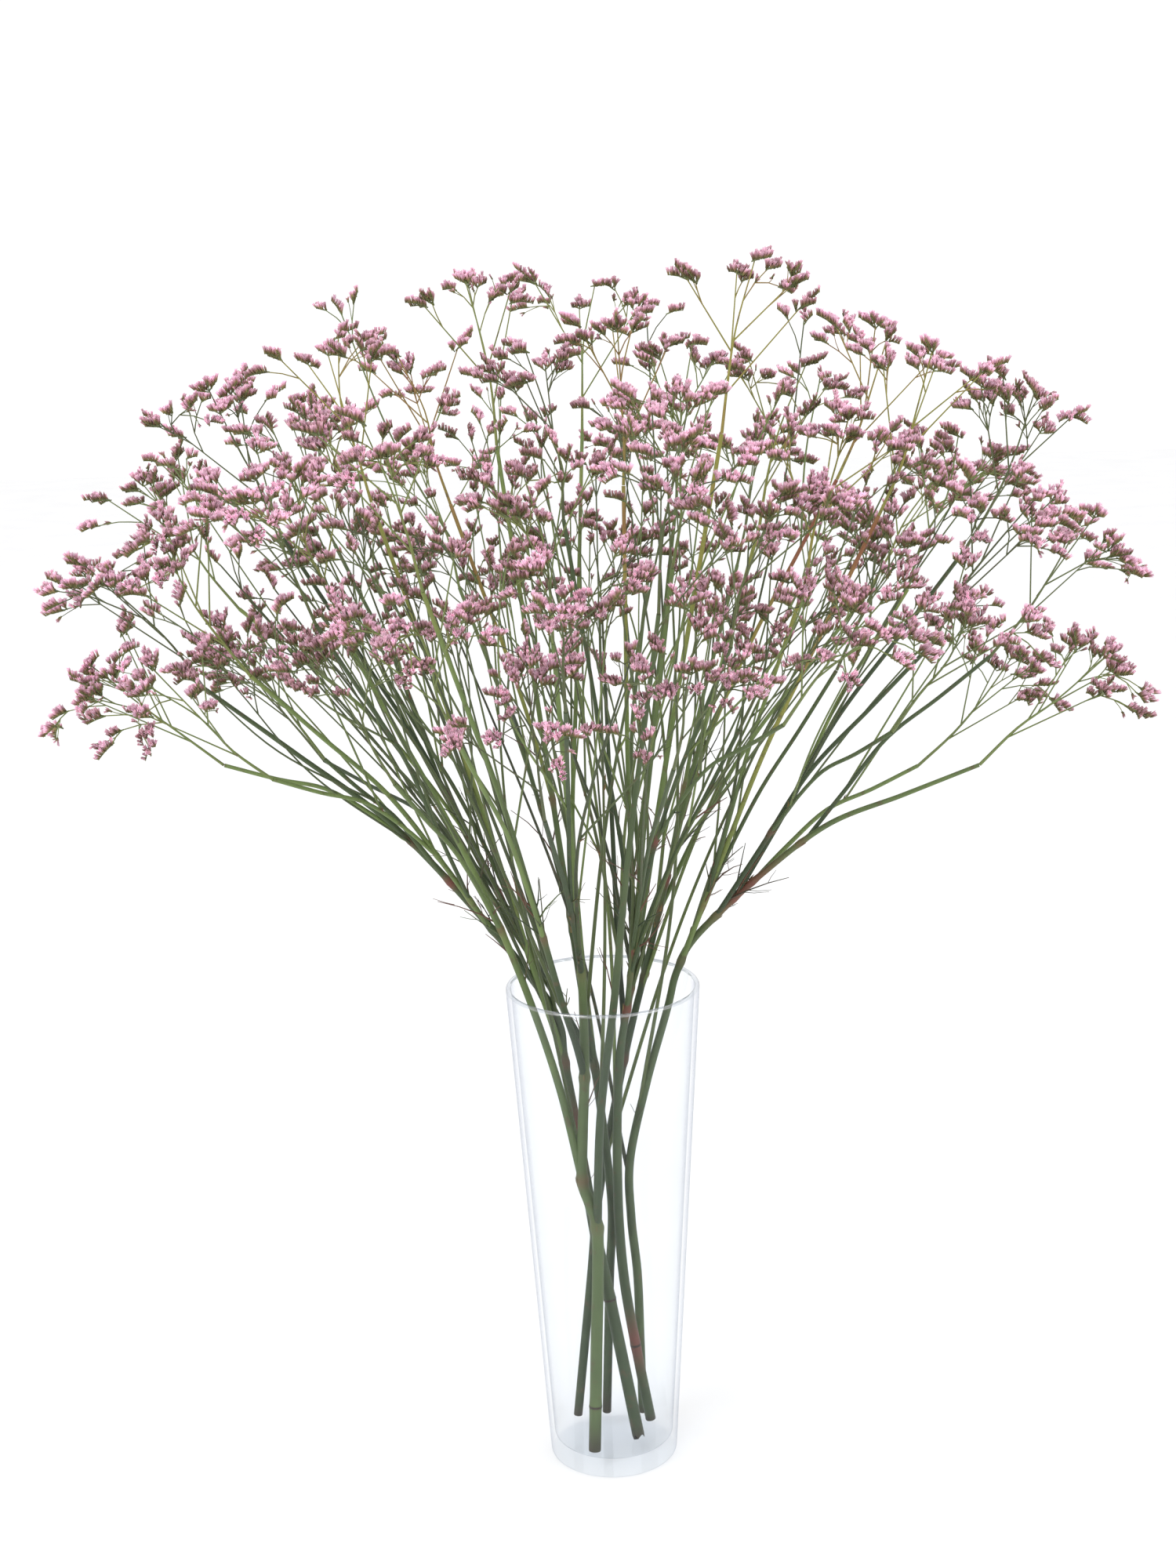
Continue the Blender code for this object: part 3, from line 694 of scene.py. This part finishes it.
# Machine-made soda-lime glass: water clear, faintly lilac and mirror-bright where it is seen edge on
def clearGlass(name, through, edgeOn, mirrorHeadOn):
    material, tree = newMaterial(name)
    where = addNode(tree, "TexCoord")
    ripple = addNode(tree, "TexNoise", {"Scale": 1 / grainSize["glassRipple"], "Detail": 1},
                     {"Vector": where.outputs["Object"]})
    bump = addNode(tree, "Bump", {"Strength": 0.04, "Distance": 2 * mm}, {"Height": ripple})
    edge = addNode(tree, "LayerWeight", {"Blend": 0.5}, {"Normal": bump})
    tint = addNode(tree, "ValToRGB", {"stops": [(0.0, through), (0.7, through), (1.0, edgeOn)]},
                   {"Fac": edge.outputs["Facing"]})
    film = addNode(tree, "BsdfTransparent", links={"Color": tint})
    grazing = addNode(tree, "Math", {"operation": "POWER", 1: glassy["mirrorPower"]},
                      {0: edge.outputs["Facing"]})
    share = addNode(tree, "Math", {"operation": "MULTIPLY_ADD", 1: glassy["mirrorEdgeOn"],
                                   2: mirrorHeadOn}, {0: grazing})
    mirror = addNode(tree, "BsdfGlossy", {"Roughness": glassy["mirrorRoughness"]}, {"Normal": bump})
    glass = addNode(tree, "MixShader", links={0: share, 1: film, 2: mirror})
    clear = addNode(tree, "BsdfTransparent", {"Color": linear("#f8fafd")})
    ray = addNode(tree, "LightPath")
    mixed = addNode(tree, "MixShader", links={0: ray.outputs["Is Shadow Ray"], 1: glass, 2: clear})
    return finishMaterial(material, mixed)


stalkMaterial = stalkGreen()
floretMaterial = papery()
glassMaterial = clearGlass("soda_lime_glass", "#fdfeff", "#e1e5ef", 0.014)
# The rim is the same glass: its greyer tint, darkest edge on, is painted shade and its much stronger
# mirror a strengthened reflection, standing in for the grey lines and glints of the thick rounded rim
rimMaterial = clearGlass("fire_polished_rim_painted_shade", "#e8ecf1", "#6b7684", 0.3)


# Glass vase: its profile spun round, foot to rim and down the inside

def makeVase():
    taper = (vase["rimRadius"] - vase["footRadius"]) / vase["height"]
    cut = vase["footRounding"]
    profile = []
    for turn in range(0, 91, 15):  # the rounded foot, in degrees
        angle = math.radians(turn)
        out = vase["footRadius"] - cut * (1 - math.sin(angle)) + taper * cut * turn / 90
        profile.append((out, cut * (1 - math.cos(angle))))
    lip = vase["wall"] / 2
    for turn in range(0, 181, 20):  # over the rim
        angle = math.radians(turn)
        profile.append((vase["rimRadius"] - lip + lip * math.cos(angle),
                        vase["height"] - lip + lip * math.sin(angle)))
    deep, bend = vase["floor"], vase["floorRounding"]
    for turn in range(0, 91, 15):  # down the inside and round onto the floor
        angle = math.radians(turn)
        profile.append((innerRadius(deep + bend) - bend * (1 - math.cos(angle)),
                        deep + bend * (1 - math.sin(angle))))
    profile = [(0, vase["footHollow"]), *profile, (0, deep)]
    mesh = bpy.data.meshes.new("vase_glass")
    edges = [(k, k + 1) for k in range(len(profile) - 1)]
    mesh.from_pydata([(x, 0, z) for x, z in profile], edges, [])
    piece = newObject("vase_glass", mesh)
    bpy.ops.object.select_all(action="DESELECT")
    piece.select_set(True)
    bpy.context.view_layer.objects.active = piece
    editAll()
    bpy.ops.mesh.spin(steps=vase["segments"], angle=math.tau, center=(0, 0, 0), axis=(0, 0, 1))
    bpy.ops.mesh.select_all(action="SELECT")
    bpy.ops.mesh.remove_doubles(threshold=1e-5)
    bpy.ops.mesh.normals_make_consistent(inside=False)
    endEdit()
    bpy.ops.object.shade_smooth_by_angle(angle=math.radians(50))
    mesh.materials.append(glassMaterial)
    mesh.materials.append(rimMaterial)
    for face in mesh.polygons:
        face.material_index = int(face.center.z > vase["height"] - vase["wall"] / 2)
    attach(piece, "root")
    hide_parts("vase")
    print("the vase is blown")


makeVase()


# Stems: smooth tapering limbs on the same lines, swollen and scaled at every fork, with thin
# side branches between them and a few bare side shoots. Plain numbers are millimetres or shares.

stalk = {"caneSides": 14, "limbSides": 9, "branchSides": 5, "caneStep": 2.2 * mm, "step": 6 * mm,
         "swelling": 0.24, "swellWidth": 3.2 * mm, "blushes": (0, 0.15, 0.4, 0.85),
         "blushWidth": 4.5 * mm, "redness": 0.8, "redLength": 16 * mm, "lowGirth": 0.1,
         "lowBelow": (430, -100), "paintedVaseShade": 0.07, "darkBelow": (330, -60), "lightAbove": (300, 250),
         "shades": (0.08, 0.58), "lighter": (0, 0.2), "lightest": 0.66, "stain": 0.85,
         "stainLength": 8 * mm, "ringWidth": 0.8 * mm, "ringSwelling": 0.06, "ragged": 3.2 * mm}

# Shade of a cane (0 dark plum green, 0.4 olive, 0.6 fresh green, 0.8 lime, 0.9 tan, 1 russet), the
# height of a dark ring round it, and how far up its cut end is stained
caneLooks = {"a": (0.46, 29, 1.6), "b": (0.26, 92, 1.0), "c": (0.3, 52, 0.5), "d": (0.34, 0, 0.6),
             "e": (0.26, 0, 2.0), "f": (0.22, 0, 0.8)}

# Limbs whose upper part stands out, with its shade
limbLooks = {"b7": 0.74, "e2": 0.86, "e1": 0.64, "f2": 0.96, "d5": 0.9, "c2": 0.84, "c1": 0.76,
             "d6": 0.86, "f1": 0.72, "a4": 0.66, "b4": 0.62, "d1": 0.58, "e7": 0.6}

redPatches = {"b1": 205, "d1": 352, "c1": 66, "a3": 300}  # limbs with a long red blush, by its height

lowBranch = {"count": 6, "tries": 120, "lowest": 150 * mm, "highest": 330 * mm, "swing": (0.05, 0.26),
             "ends": (490, 610), "spread": 0.12, "rise": 0.05, "bendAt": 0.45, "radius": 1.3 * mm,
             "tip": 0.45 * mm, "ofLimb": 0.85, "taper": 0.75, "shades": (0.1, 0.5)}

sideBranch = {"perLimb": (1, 3), "from": 0.08, "to": 0.8, "lowest": 318 * mm, "reach": (85, 185),
              "swing": (0.2, 0.5), "bow": (-0.06, 0.1), "rise": 0.18, "radius": 0.72 * mm,
              "tip": 0.4 * mm, "endsAbove": 480 * mm, "endsWithin": 240 * mm, "step": 9 * mm,
              "ofLimb": 0.75, "taper": 0.8, "lift": 0.06, "runOn": 0.04, "shades": (0.25, 0.6)}

sideShoot = {"count": 20, "length": (12, 42), "bow": 0.4, "radius": 0.55 * mm, "tip": 0.2 * mm,
             "from": 150 * mm, "to": 480 * mm, "within": 80 * mm, "swing": (0.4, 0.8), "forks": (1, 3),
             "forkReach": (0.2, 0.4), "forkAt": (0.8, 1.15), "forkSpread": 0.6, "forkTurn": (-0.6, 0.6),
             "blushes": (0, 0.2, 0.7), "shades": (0.1, 0.5), "scars": (0, 0.5)}

forkScaleLooks = {"seat": 0.9, "lean": 0.25, "size": (0.6, 1.1), "shades": (0.5, 0.9), "scars": (0, 0.6)}


def fineLine(points, radii, step):
    rows = [2 * points[0] - points[1], *points, 2 * points[-1] - points[-2]]
    line, marks = [], []
    for k, span in enumerate(zip(rows, rows[1:], rows[2:], rows[3:])):
        count = max(1, round(np.linalg.norm(span[2] - span[1]) / step))
        for t in np.arange(count) / count:
            line.append(catmull(*span, t))
            marks.append(k + t)
    line, marks = np.array([*line, points[-1]]), np.array([*marks, len(points) - 1])
    return line, np.interp(marks, range(len(radii)), radii)


def outOfReach(end):  # where no spray would hide a branch's end
    return end[2] < sideBranch["endsAbove"] or math.hypot(end[0], end[1]) > sideBranch["endsWithin"]


def leave(line, at, swings, draw):  # the way along a limb, a way square to it, and a way between
    swing, spin = draw.uniform(*swings), draw.uniform(0, math.tau)
    along = unit(line[at + 1] - line[at])
    out = across(along, spin)
    return along, out, along * math.cos(swing) + out * math.sin(swing)


def growLowBranches(stem, lines):  # long thin ones that leave the limbs inside the vase or at its rim
    draw = random.Random("low branch " + stem)
    found = []
    for _ in range(lowBranch["tries"]):
        line, girth = draw.choice(lines)
        at = draw.randrange(1, len(line) - 1)
        along, out, way = leave(line, at, lowBranch["swing"], draw)
        way = unit(way)
        start, shade = line[at], draw.uniform(*lowBranch["shades"])
        length = (draw.uniform(*lowBranch["ends"]) * mm - start[2]) / way[2]
        end = start + way * length + (out * lowBranch["spread"] + up * lowBranch["rise"]) * length
        if not lowBranch["lowest"] < start[2] < lowBranch["highest"] or outOfReach(end):
            continue
        first = min(lowBranch["radius"], girth[at] * lowBranch["ofLimb"])
        middle = start + way * length * lowBranch["bendAt"]
        radii = [first, first * lowBranch["taper"], lowBranch["tip"]]
        branch, thick = fineLine([start, middle, end], radii, sideBranch["step"])
        if insideVase(branch, thick):
            found.append((branch, thick, shade))
        if len(found) == lowBranch["count"]:
            break
    return found


def growSideBranches(stem, lines):  # thin branches that leave the limbs, as (line, girth, shade)
    draw = random.Random("side branch " + stem)
    found = []
    for line, girth in lines:
        count = draw.randint(*sideBranch["perLimb"])
        for k in range(count):
            low, high = sideBranch["from"], sideBranch["to"]
            share = low + (high - low) * (k + draw.uniform(0.1, 0.9)) / count
            at = int(share * (len(line) - 1))
            along, out, way = leave(line, at, sideBranch["swing"], draw)
            length, bow = draw.uniform(*sideBranch["reach"]) * mm, draw.uniform(*sideBranch["bow"])
            way = unit(way + up * sideBranch["rise"])
            start, end = line[at], line[at] + way * length + up * length * sideBranch["lift"]
            if start[2] < sideBranch["lowest"] or outOfReach(end):
                continue
            middle = (start + end) / 2 + out * length * bow + along * length * sideBranch["runOn"]
            first = min(sideBranch["radius"], girth[at] * sideBranch["ofLimb"])
            radii = [first, first * sideBranch["taper"], sideBranch["tip"]]
            shade = draw.uniform(*sideBranch["shades"])
            found.append((*fineLine([start, middle, end], radii, sideBranch["step"]), shade))
    return found


def addSideShoot(patch, start, way, draw):  # a thin bare shoot that set no florets
    length, tip = draw.uniform(*sideShoot["length"]) * mm, sideShoot["tip"]
    side, other = sideways(way)
    bow = (side * draw.uniform(-1, 1) + other * draw.uniform(-1, 1)) * sideShoot["bow"]
    shares = np.array((0, 0.35, 0.7, 1))
    line = start + np.outer(shares * length, way) + np.outer(shares**2 * length, bow)
    tone = (draw.choice(sideShoot["blushes"]), draw.uniform(*sideShoot["shades"]),
            draw.uniform(*sideShoot["scars"]))
    addTube(patch, line, np.linspace(sideShoot["radius"], tip, len(shares)), 4, 0, tone)
    for k in range(draw.randint(*sideShoot["forks"])):
        root = start + (line[1 + k % 2] - start) * draw.uniform(*sideShoot["forkAt"])
        turned = side * (1 if k % 2 else -1) + other * draw.uniform(*sideShoot["forkTurn"])
        fork = unit(way + turned * sideShoot["forkSpread"])
        reach = length * draw.uniform(*sideShoot["forkReach"])
        addTube(patch, [root, root + fork * reach * 0.5, root + (fork + way * 0.2) * reach],
                [tip * 1.2, tip, tip * 0.7], 3, 0, tone)


def ramp(line, start, length):  # 0 up to this height, then evenly to 1; a length below 0 runs down
    return np.clip((line[:, 2] / mm - start) / length, 0, 1)


def stemLines(stem):  # each limb's finer line and girth, rooted on the limb that bears it
    lines = []
    for (points, radii), (*crown, parent, fork) in zip(grown[stem], limbs[stem]):
        line, girth = fineLine(points, radii, stalk["step"] if parent else stalk["caneStep"])
        if parent:
            trunk = lines[parent - 1][0]
            line[0] = trunk[np.linalg.norm(trunk - line[0], axis=1).argmin()]
        lines.append((line, girth))
    return lines


def swellForks(line, girth, forks, scales, draw):  # and the blush that they give
    blush = np.zeros(len(line))
    for fork in forks:
        away = np.linalg.norm(line - fork, axis=1)
        at = away.argmin()
        girth *= 1 + stalk["swelling"] * bell(away, stalk["swellWidth"])
        blush = np.maximum(blush, draw.choice(stalk["blushes"]) * bell(away, stalk["blushWidth"]))
        scales.append((fork, unit(line[at] - line[max(0, at - 3)]), girth[at]))
    return blush


def finishCane(patch, stem, line, girth, tone, draw):  # its stained cut end and its leaf scar
    shade, ring, stain = caneLooks[stem]
    above = line[:, 2] - line[0, 2]
    tone[:, 2] = bell(above, stalk["stainLength"] * stain) * stalk["stain"]
    if ring:  # a dark leaf scar right round the cane
        at = np.abs(above - ring * mm).argmin()
        lift = unit(line[at + 1] - line[at]) * stalk["ringWidth"]
        girth *= 1 + stalk["ringSwelling"] * bell(above - ring * mm, 4 * stalk["ringWidth"])
        addTube(patch, [line[at] - lift, line[at], line[at] + lift],
                girth[at] * np.array((1.0, 1.07, 1.0)), stalk["caneSides"], 0, (0.2, 0.1, 0.85))
    if stem == "b":  # its cut end is split
        return np.array([draw.uniform(-0.2, 1) * stalk["ragged"] for _ in range(stalk["caneSides"])])


def addForkScales(patch, scales, draw):
    places = []
    for fork, along, girth in scales:
        turn = draw.uniform(0, math.tau)
        out = across(along, turn)
        size, shade, scar = (draw.uniform(*forkScaleLooks[key]) for key in ("size", "shades", "scars"))
        places.append((fork + out * girth * forkScaleLooks["seat"],
                       unit(along + out * forkScaleLooks["lean"]), turn, size, (0, shade, scar)))
    addCopies(patch, forkScale, places, 0)


def addSideShoots(patch, lines, draw):
    for _ in range(sideShoot["count"]):
        line = draw.choice(lines)[0]
        fit = [n for n in range(len(line) - 1) if sideShoot["from"] < line[n][2] < sideShoot["to"]
               and math.hypot(line[n][0], line[n][1]) < sideShoot["within"]]
        if not fit:
            continue
        at = draw.choice(fit)
        along = unit(line[at + 1] - line[at])
        out = across(along, draw.uniform(0, math.tau))
        if line[at][2] < vase["height"]:  # clear of the glass
            out = unit(up - unit(line[at] * (1, 1, 0)) * 0.4)
        addSideShoot(patch, line[at], unit(along + out * draw.uniform(*sideShoot["swing"])), draw)


def makeStem(stem):
    patch = newPatch()
    draw = random.Random(f"stalk {stem}")
    lines, shades, scales = stemLines(stem), [], []
    branches = growLowBranches(stem, lines)
    branches += growSideBranches(stem, lines + [(line, girth) for line, girth, look in branches])
    for number, (line, girth) in enumerate(lines, start=1):
        name = f"{stem}{number}"
        girth = girth * (1 + stalk["lowGirth"] * ramp(line, *stalk["lowBelow"]))
        forks = [lines[k][0][0] for k, row in enumerate(limbs[stem]) if row[3] == number]
        tone = np.zeros((len(line), 3))
        tone[:, 0] = swellForks(line, girth, forks, scales, draw)
        if name in redPatches:
            red = stalk["redness"] * bell(line[:, 2] - redPatches[name] * mm, stalk["redLength"])
            tone[:, 0] = np.maximum(tone[:, 0], red)
        low = draw.uniform(*stalk["shades"]) if number > 1 else caneLooks[stem][0]
        high = limbLooks.get(name, min(stalk["lightest"], low + draw.uniform(*stalk["lighter"])))
        shades.append(high)
        tone[:, 1] = low + (high - low) * ramp(line, *stalk["lightAbove"])
        # Painted shade: the stalks are drawn darker inside the vase, below its rim
        tone[:, 1] -= stalk["paintedVaseShade"] * ramp(line, *stalk["darkBelow"])
        sides, ragged = stalk["limbSides"], None
        if number == 1:
            sides, ragged = stalk["caneSides"], finishCane(patch, stem, line, girth, tone, draw)
        addTube(patch, line, girth, sides, 0, tone, ragged)
    for line, girth, shade in branches:
        addTube(patch, line, girth, stalk["branchSides"], 0, (0.05, shade, 0))
        scales.append((line[0], unit(line[1] - line[0]), girth[0]))
    addForkScales(patch, scales, draw)
    addSideShoots(patch, lines, draw)
    piece = makePiece("stem_" + stem + "_stalks", patch, [stalkMaterial])
    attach(piece, "root")
    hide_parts("stem_" + stem)
    return branches, shades


branches, limbShades = {}, {}
for stem in canes:
    branches[stem], limbShades[stem] = makeStem(stem)


# Sprays: the five twigs of each solid, a dozen more between them, and fans of one-sided spikes of
# florets on every twig. A fan's size is its number of florets, and girths run from root to tip.

bunch = {"twigs": 14, "topTwigs": 6, "topCrown": 640 * mm, "reach": 1.12, "dome": 7 * mm,
         "drop": (-4 * mm, 6 * mm), "deepDrop": (12 * mm, 40 * mm), "deepShare": 0.15, "huddle": 13 * mm,
         "tries": 8, "turnCost": 45 * mm, "shortest": 9 * mm, "mainStep": 8 * mm, "step": 9 * mm,
         "twigTip": 0.36 * mm, "main": (28, 42),
         "between": (13, 30), "side": (9, 18), "sideTwigs": (1, 3), "sideRadius": 17 * mm,
         "axisGirth": (0.95 * mm, 0.72 * mm, 0.5 * mm), "mainGirth": (0.5 * mm,),
         "twigGirth": (0.46 * mm, 0.4 * mm), "rise": 0.5, "bendAt": 0.45, "bow": 0.08,
         "onward": 0.8, "outward": (0.1, 0.6), "upward": (0, 0.4), "stand": (0.7, 0.8),
         "standOut": (-0.1, 0.5), "fresh": (0.3, 0.9), "sideFresh": (0.25, 0.8), "limbShade": 0.75,
         "paler": (0.08, 0.22), "ripe": (-0.25, 0.25), "twigRipe": (-0.35, 0.25)}

spike = {"girth": 0.504 * mm, "taper": 0.21 * mm, "pitch": 0.92 * mm, "bare": 0.22,
         "curl": (-0.3, 0.12), "forward": (-0.05, 0.45), "nod": 0.9, "sway": (0.08, 0.62),
         "size": (0.78, 1.15), "rootSize": 1.08, "shrink": 0.25, "blooms": 1.2, "spent": 0.5,
         "calyxes": 0.28, "buds": 0.1, "unopened": 0.5, "tone": (0.1, 0.5, 0),
         "ripeness": {"bloom": 1.15, "calyx": 0.7, "bud": 0.5}, "uneven": (-0.25, 0.25)}

fan = {"spikesAbove": (9, 18, 28), "spread": 0.52, "spreads": (0.7, 1.25), "twist": (-0.4, 0.4),
       "flat": (0.1, 0.6), "apart": 0.9 * mm, "middleShare": 1.15, "sideShare": 0.95,
       "uneven": (0.85, 1.15), "least": 4, "heart": 330 * mm, "domeRadius": 360 * mm,
       "paintedShadeWithin": 0.85}

stray = {"chance": 0.62, "length": (6, 14), "swing": 0.7, "rise": 0.3, "bow": 0.6 * mm,
         "girth": (0.3 * mm, 0.27 * mm, 0.24 * mm), "buds": (2, 5), "apart": 0.5 * mm,
         "lean": (-0.7, 0.7), "size": (0.6, 0.95), "ripe": (0.4, 1), "kinds": ("bud", "bud", "calyx")}


def addSpike(patch, places, base, way, stand, count, fresh, draw):  # florets stand on it two deep
    upper = stand - way * (stand @ way) + np.array((0.01, 0.02, 0))
    upper = unit(upper - way * (upper @ way))
    side = np.cross(way, upper)
    length = count * spike["pitch"] / (1 - spike["bare"])
    curl = draw.uniform(*spike["curl"])
    shares = np.linspace(0, 1, 3)
    line = base + np.outer(shares * length, way) + np.outer(shares**2 * length * curl, upper)
    addTube(patch, line, spike["girth"] - spike["taper"] * shares, 3, 0, spike["tone"])
    for k in range(count):
        share = spike["bare"] + (1 - spike["bare"]) * (k + 0.5) / count
        point = base + way * length * share + upper * (length * curl * share**2)
        sway = draw.uniform(*spike["sway"]) * (1 if k % 2 else -1)
        lean = unit(upper + way * (draw.uniform(*spike["forward"]) + spike["nod"] * share) + side * sway)
        chances = (fresh * (spike["blooms"] - spike["spent"] * share), spike["calyxes"],
                   spike["buds"] + spike["unopened"] * (1 - fresh))  # for a bloom, a calyx and a bud
        kind = draw.choices(("bloom", "calyx", "bud"), chances)[0]
        size = draw.uniform(*spike["size"]) * (spike["rootSize"] - spike["shrink"] * share)
        ripe = clamp(fresh * spike["ripeness"][kind] + draw.uniform(*spike["uneven"]))
        places[kind].append((point, lean, draw.uniform(0, math.tau), size, (0, draw.random(), ripe)))


def addCluster(patch, places, end, heading, stand, size, fresh, draw):  # a fan of spikes
    heading = unit(heading - stand * (heading @ stand) * draw.uniform(*fan["flat"]))
    # Painted shade: fans deep inside the bunch, where less light reaches, get less freshness, so darker
    # dull brown colours and more buds
    out = math.hypot(*end[:2], end[2] - fan["heart"]) / fan["domeRadius"]
    fresh = clamp(fresh + out - fan["paintedShadeWithin"], 0.1)  # deep in the bunch they are browner
    side = unit(np.cross(heading, stand) + np.array((0.01, 0, 0)))
    other = np.cross(heading, side)
    spikes = 1 + sum(size > least for least in fan["spikesAbove"])
    for k in range(spikes):
        swing = (k + 1) // 2 * fan["spread"] * (1 if k % 2 else -1) * draw.uniform(*fan["spreads"])
        twist = draw.uniform(*fan["twist"])
        aside = side * math.cos(twist) + other * math.sin(twist)
        way = unit(heading * math.cos(swing) + aside * math.sin(swing))
        share = fan["sideShare" if k else "middleShare"]
        count = max(fan["least"], round(size / spikes * share * draw.uniform(*fan["uneven"])))
        addSpike(patch, places, end - heading * k * fan["apart"], way, stand, count, fresh, draw)


def addStray(patch, places, line, fresh, shade, draw):  # a short side twig with a few buds at its end
    at = draw.randrange(1, len(line) - 1)
    way = unit(line[at + 1] - line[at])
    side, other = sideways(way)
    out = unit(way + across(way, draw.uniform(0, math.tau)) * stray["swing"] + up * stray["rise"])
    tip = line[at] + out * draw.uniform(*stray["length"]) * mm
    addTube(patch, [line[at], (line[at] + tip) / 2 + way * stray["bow"], tip], stray["girth"],
            3, 0, (0.1, shade + 0.05, 0))
    for k in range(draw.randint(*stray["buds"])):
        lean = unit(out + side * draw.uniform(*stray["lean"]) + other * draw.uniform(*stray["lean"]))
        kind = draw.choice(stray["kinds"])
        tone = (0, draw.random(), min(1, fresh * draw.uniform(*stray["ripe"])))
        places[kind].append((tip - out * k * stray["apart"], lean, draw.uniform(0, math.tau),
                             draw.uniform(*stray["size"]), tone))


# A grove holds the points, ways and ends of the twigs that stand already in one spray

def plant(grove, line, end):
    grove["points"].append(line[1:])
    grove["ways"].append(np.gradient(line, axis=0)[1:])
    grove["ends"].append(end)


def freeSpot(grove, crown, cap, radius, draw):  # for a twig's end, just clear of those that stand
    spots = []
    for _ in range(bunch["tries"]):
        turn, reach = draw.uniform(0, math.tau), math.sqrt(draw.random())
        out = across(cap, turn)
        deep = draw.random() < bunch["deepShare"]
        drop = draw.uniform(*bunch["deepDrop" if deep else "drop"]) * radius / spray["crownRadius"]
        spot = crown + out * reach * radius - cap * (drop + bunch["dome"] * reach**2)
        free = min(np.linalg.norm(spot - end) for end in grove["ends"])
        spots.append((abs(free - bunch["huddle"]), spot, out))
    return min(spots, key=lambda found: found[0])[1:]


def forkFor(grove, spot):  # the place on a standing twig from which one runs best to this spot
    samples, along = np.concatenate(grove["points"]), np.concatenate(grove["ways"])
    along = along / np.linalg.norm(along, axis=1)[:, None]
    gone = spot - samples
    far = np.linalg.norm(gone, axis=1)
    cosine = (gone * along).sum(axis=1) / np.maximum(far, 1e-6)
    cost = far + bunch["turnCost"] * (1 - cosine) + np.where(far < bunch["shortest"], 1, 0)
    best = cost.argmin()
    return samples[best], along[best], far[best]


def standing(rise):  # the way that florets stand, between straight up and along the spray
    upright, along = bunch["stand"]
    return up * upright + rise * along


def addTwigs(patch, places, crown, rise, grove, count, radius, sizes, fresh, shade, draw):
    cap = unit(rise + up * bunch["rise"])
    for _ in range(count):
        spot, out = freeSpot(grove, crown, cap, radius, draw)
        start, way, length = forkFor(grove, spot)
        middle = start + (spot - start) * bunch["bendAt"] + way * length * bunch["bow"]
        line, girth = fineLine([start, middle, spot], [*bunch["twigGirth"], bunch["twigTip"]],
                               bunch["step"])
        addTube(patch, line, girth, 3, 0, (0.1, shade + 0.04, 0))
        if draw.random() < stray["chance"]:
            addStray(patch, places, line, fresh, shade, draw)
        spread, lift = draw.uniform(*bunch["outward"]), draw.uniform(*bunch["upward"])
        heading = unit(unit(spot - middle) * bunch["onward"] + out * spread + up * lift)
        plant(grove, line, spot + heading * 6 * mm)
        stand = unit(standing(rise) + out * draw.uniform(*bunch["standOut"]))
        ripe = clamp(fresh + draw.uniform(*bunch["twigRipe"]), 0.05)
        addCluster(patch, places, spot, heading, stand, draw.randint(*sizes), ripe, draw)


def makeSpray(patch, places, name):
    crown, rise, twigs = sprays[name]
    stem, number = name[6], int(name[7:])
    draw = random.Random("bunch " + name)
    fresh = draw.uniform(*bunch["fresh"])
    shade = bunch["limbShade"] * limbShades[stem][number - 1] + draw.uniform(*bunch["paler"])
    grove = {"points": [], "ways": [], "ends": []}
    for points, heading, upper in twigs:
        first = len(points) > 2  # it carries the limb on
        radii = bunch["axisGirth" if first else "mainGirth"]
        line, girth = fineLine(points, [*radii, bunch["twigTip"]], bunch["mainStep"])
        addTube(patch, line, girth, 6 if first else 5, 0, (0.1, shade, 0))
        plant(grove, line, points[-1] + heading * 9 * mm)
        ripe = clamp(fresh + draw.uniform(*bunch["ripe"]), 0.1)
        addCluster(patch, places, points[-1], heading, unit(standing(rise)),
                   draw.randint(*bunch["main"]), ripe, draw)
    count = bunch["topTwigs"] if crown[2] > bunch["topCrown"] else bunch["twigs"]
    addTwigs(patch, places, crown, rise, grove, count, spray["crownRadius"] * bunch["reach"],
             bunch["between"], fresh, shade, draw)


def makeSprays(stem):
    patch = newPatch()
    places = {kind: [] for kind in florets}
    names = [f"spray_{stem}{k}" for k in range(1, len(limbs[stem]) + 1)]
    for name in names:
        makeSpray(patch, places, name)
    draw = random.Random("side bunch " + stem)
    for line, girth, shade in branches[stem]:
        rise = unit(unit(line[-1] - line[-3]) + up * 0.4)
        fresh = draw.uniform(*bunch["sideFresh"])
        start = len(line) * 3 // 5
        grove = {"points": [line[start:]], "ways": [np.gradient(line, axis=0)[start:]],
                 "ends": [line[-1] + rise * 6 * mm]}
        size = draw.randint(*bunch["side"])
        addCluster(patch, places, line[-1], rise, up + rise * 0.3, size, fresh, draw)
        addTwigs(patch, places, line[-1] + rise * 7 * mm, rise, grove, draw.randint(*bunch["sideTwigs"]),
                 bunch["sideRadius"], bunch["side"], fresh, shade, draw)
    for kind, model in florets.items():
        addCopies(patch, model, places[kind], 1)
    piece = makePiece(f"sprays_{stem}_blossom", patch, [stalkMaterial, floretMaterial])
    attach(piece, "root")
    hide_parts(*names)
    print(sum(len(found) for found in places.values()), "florets on stem", stem)


for stem in canes:
    makeSprays(stem)
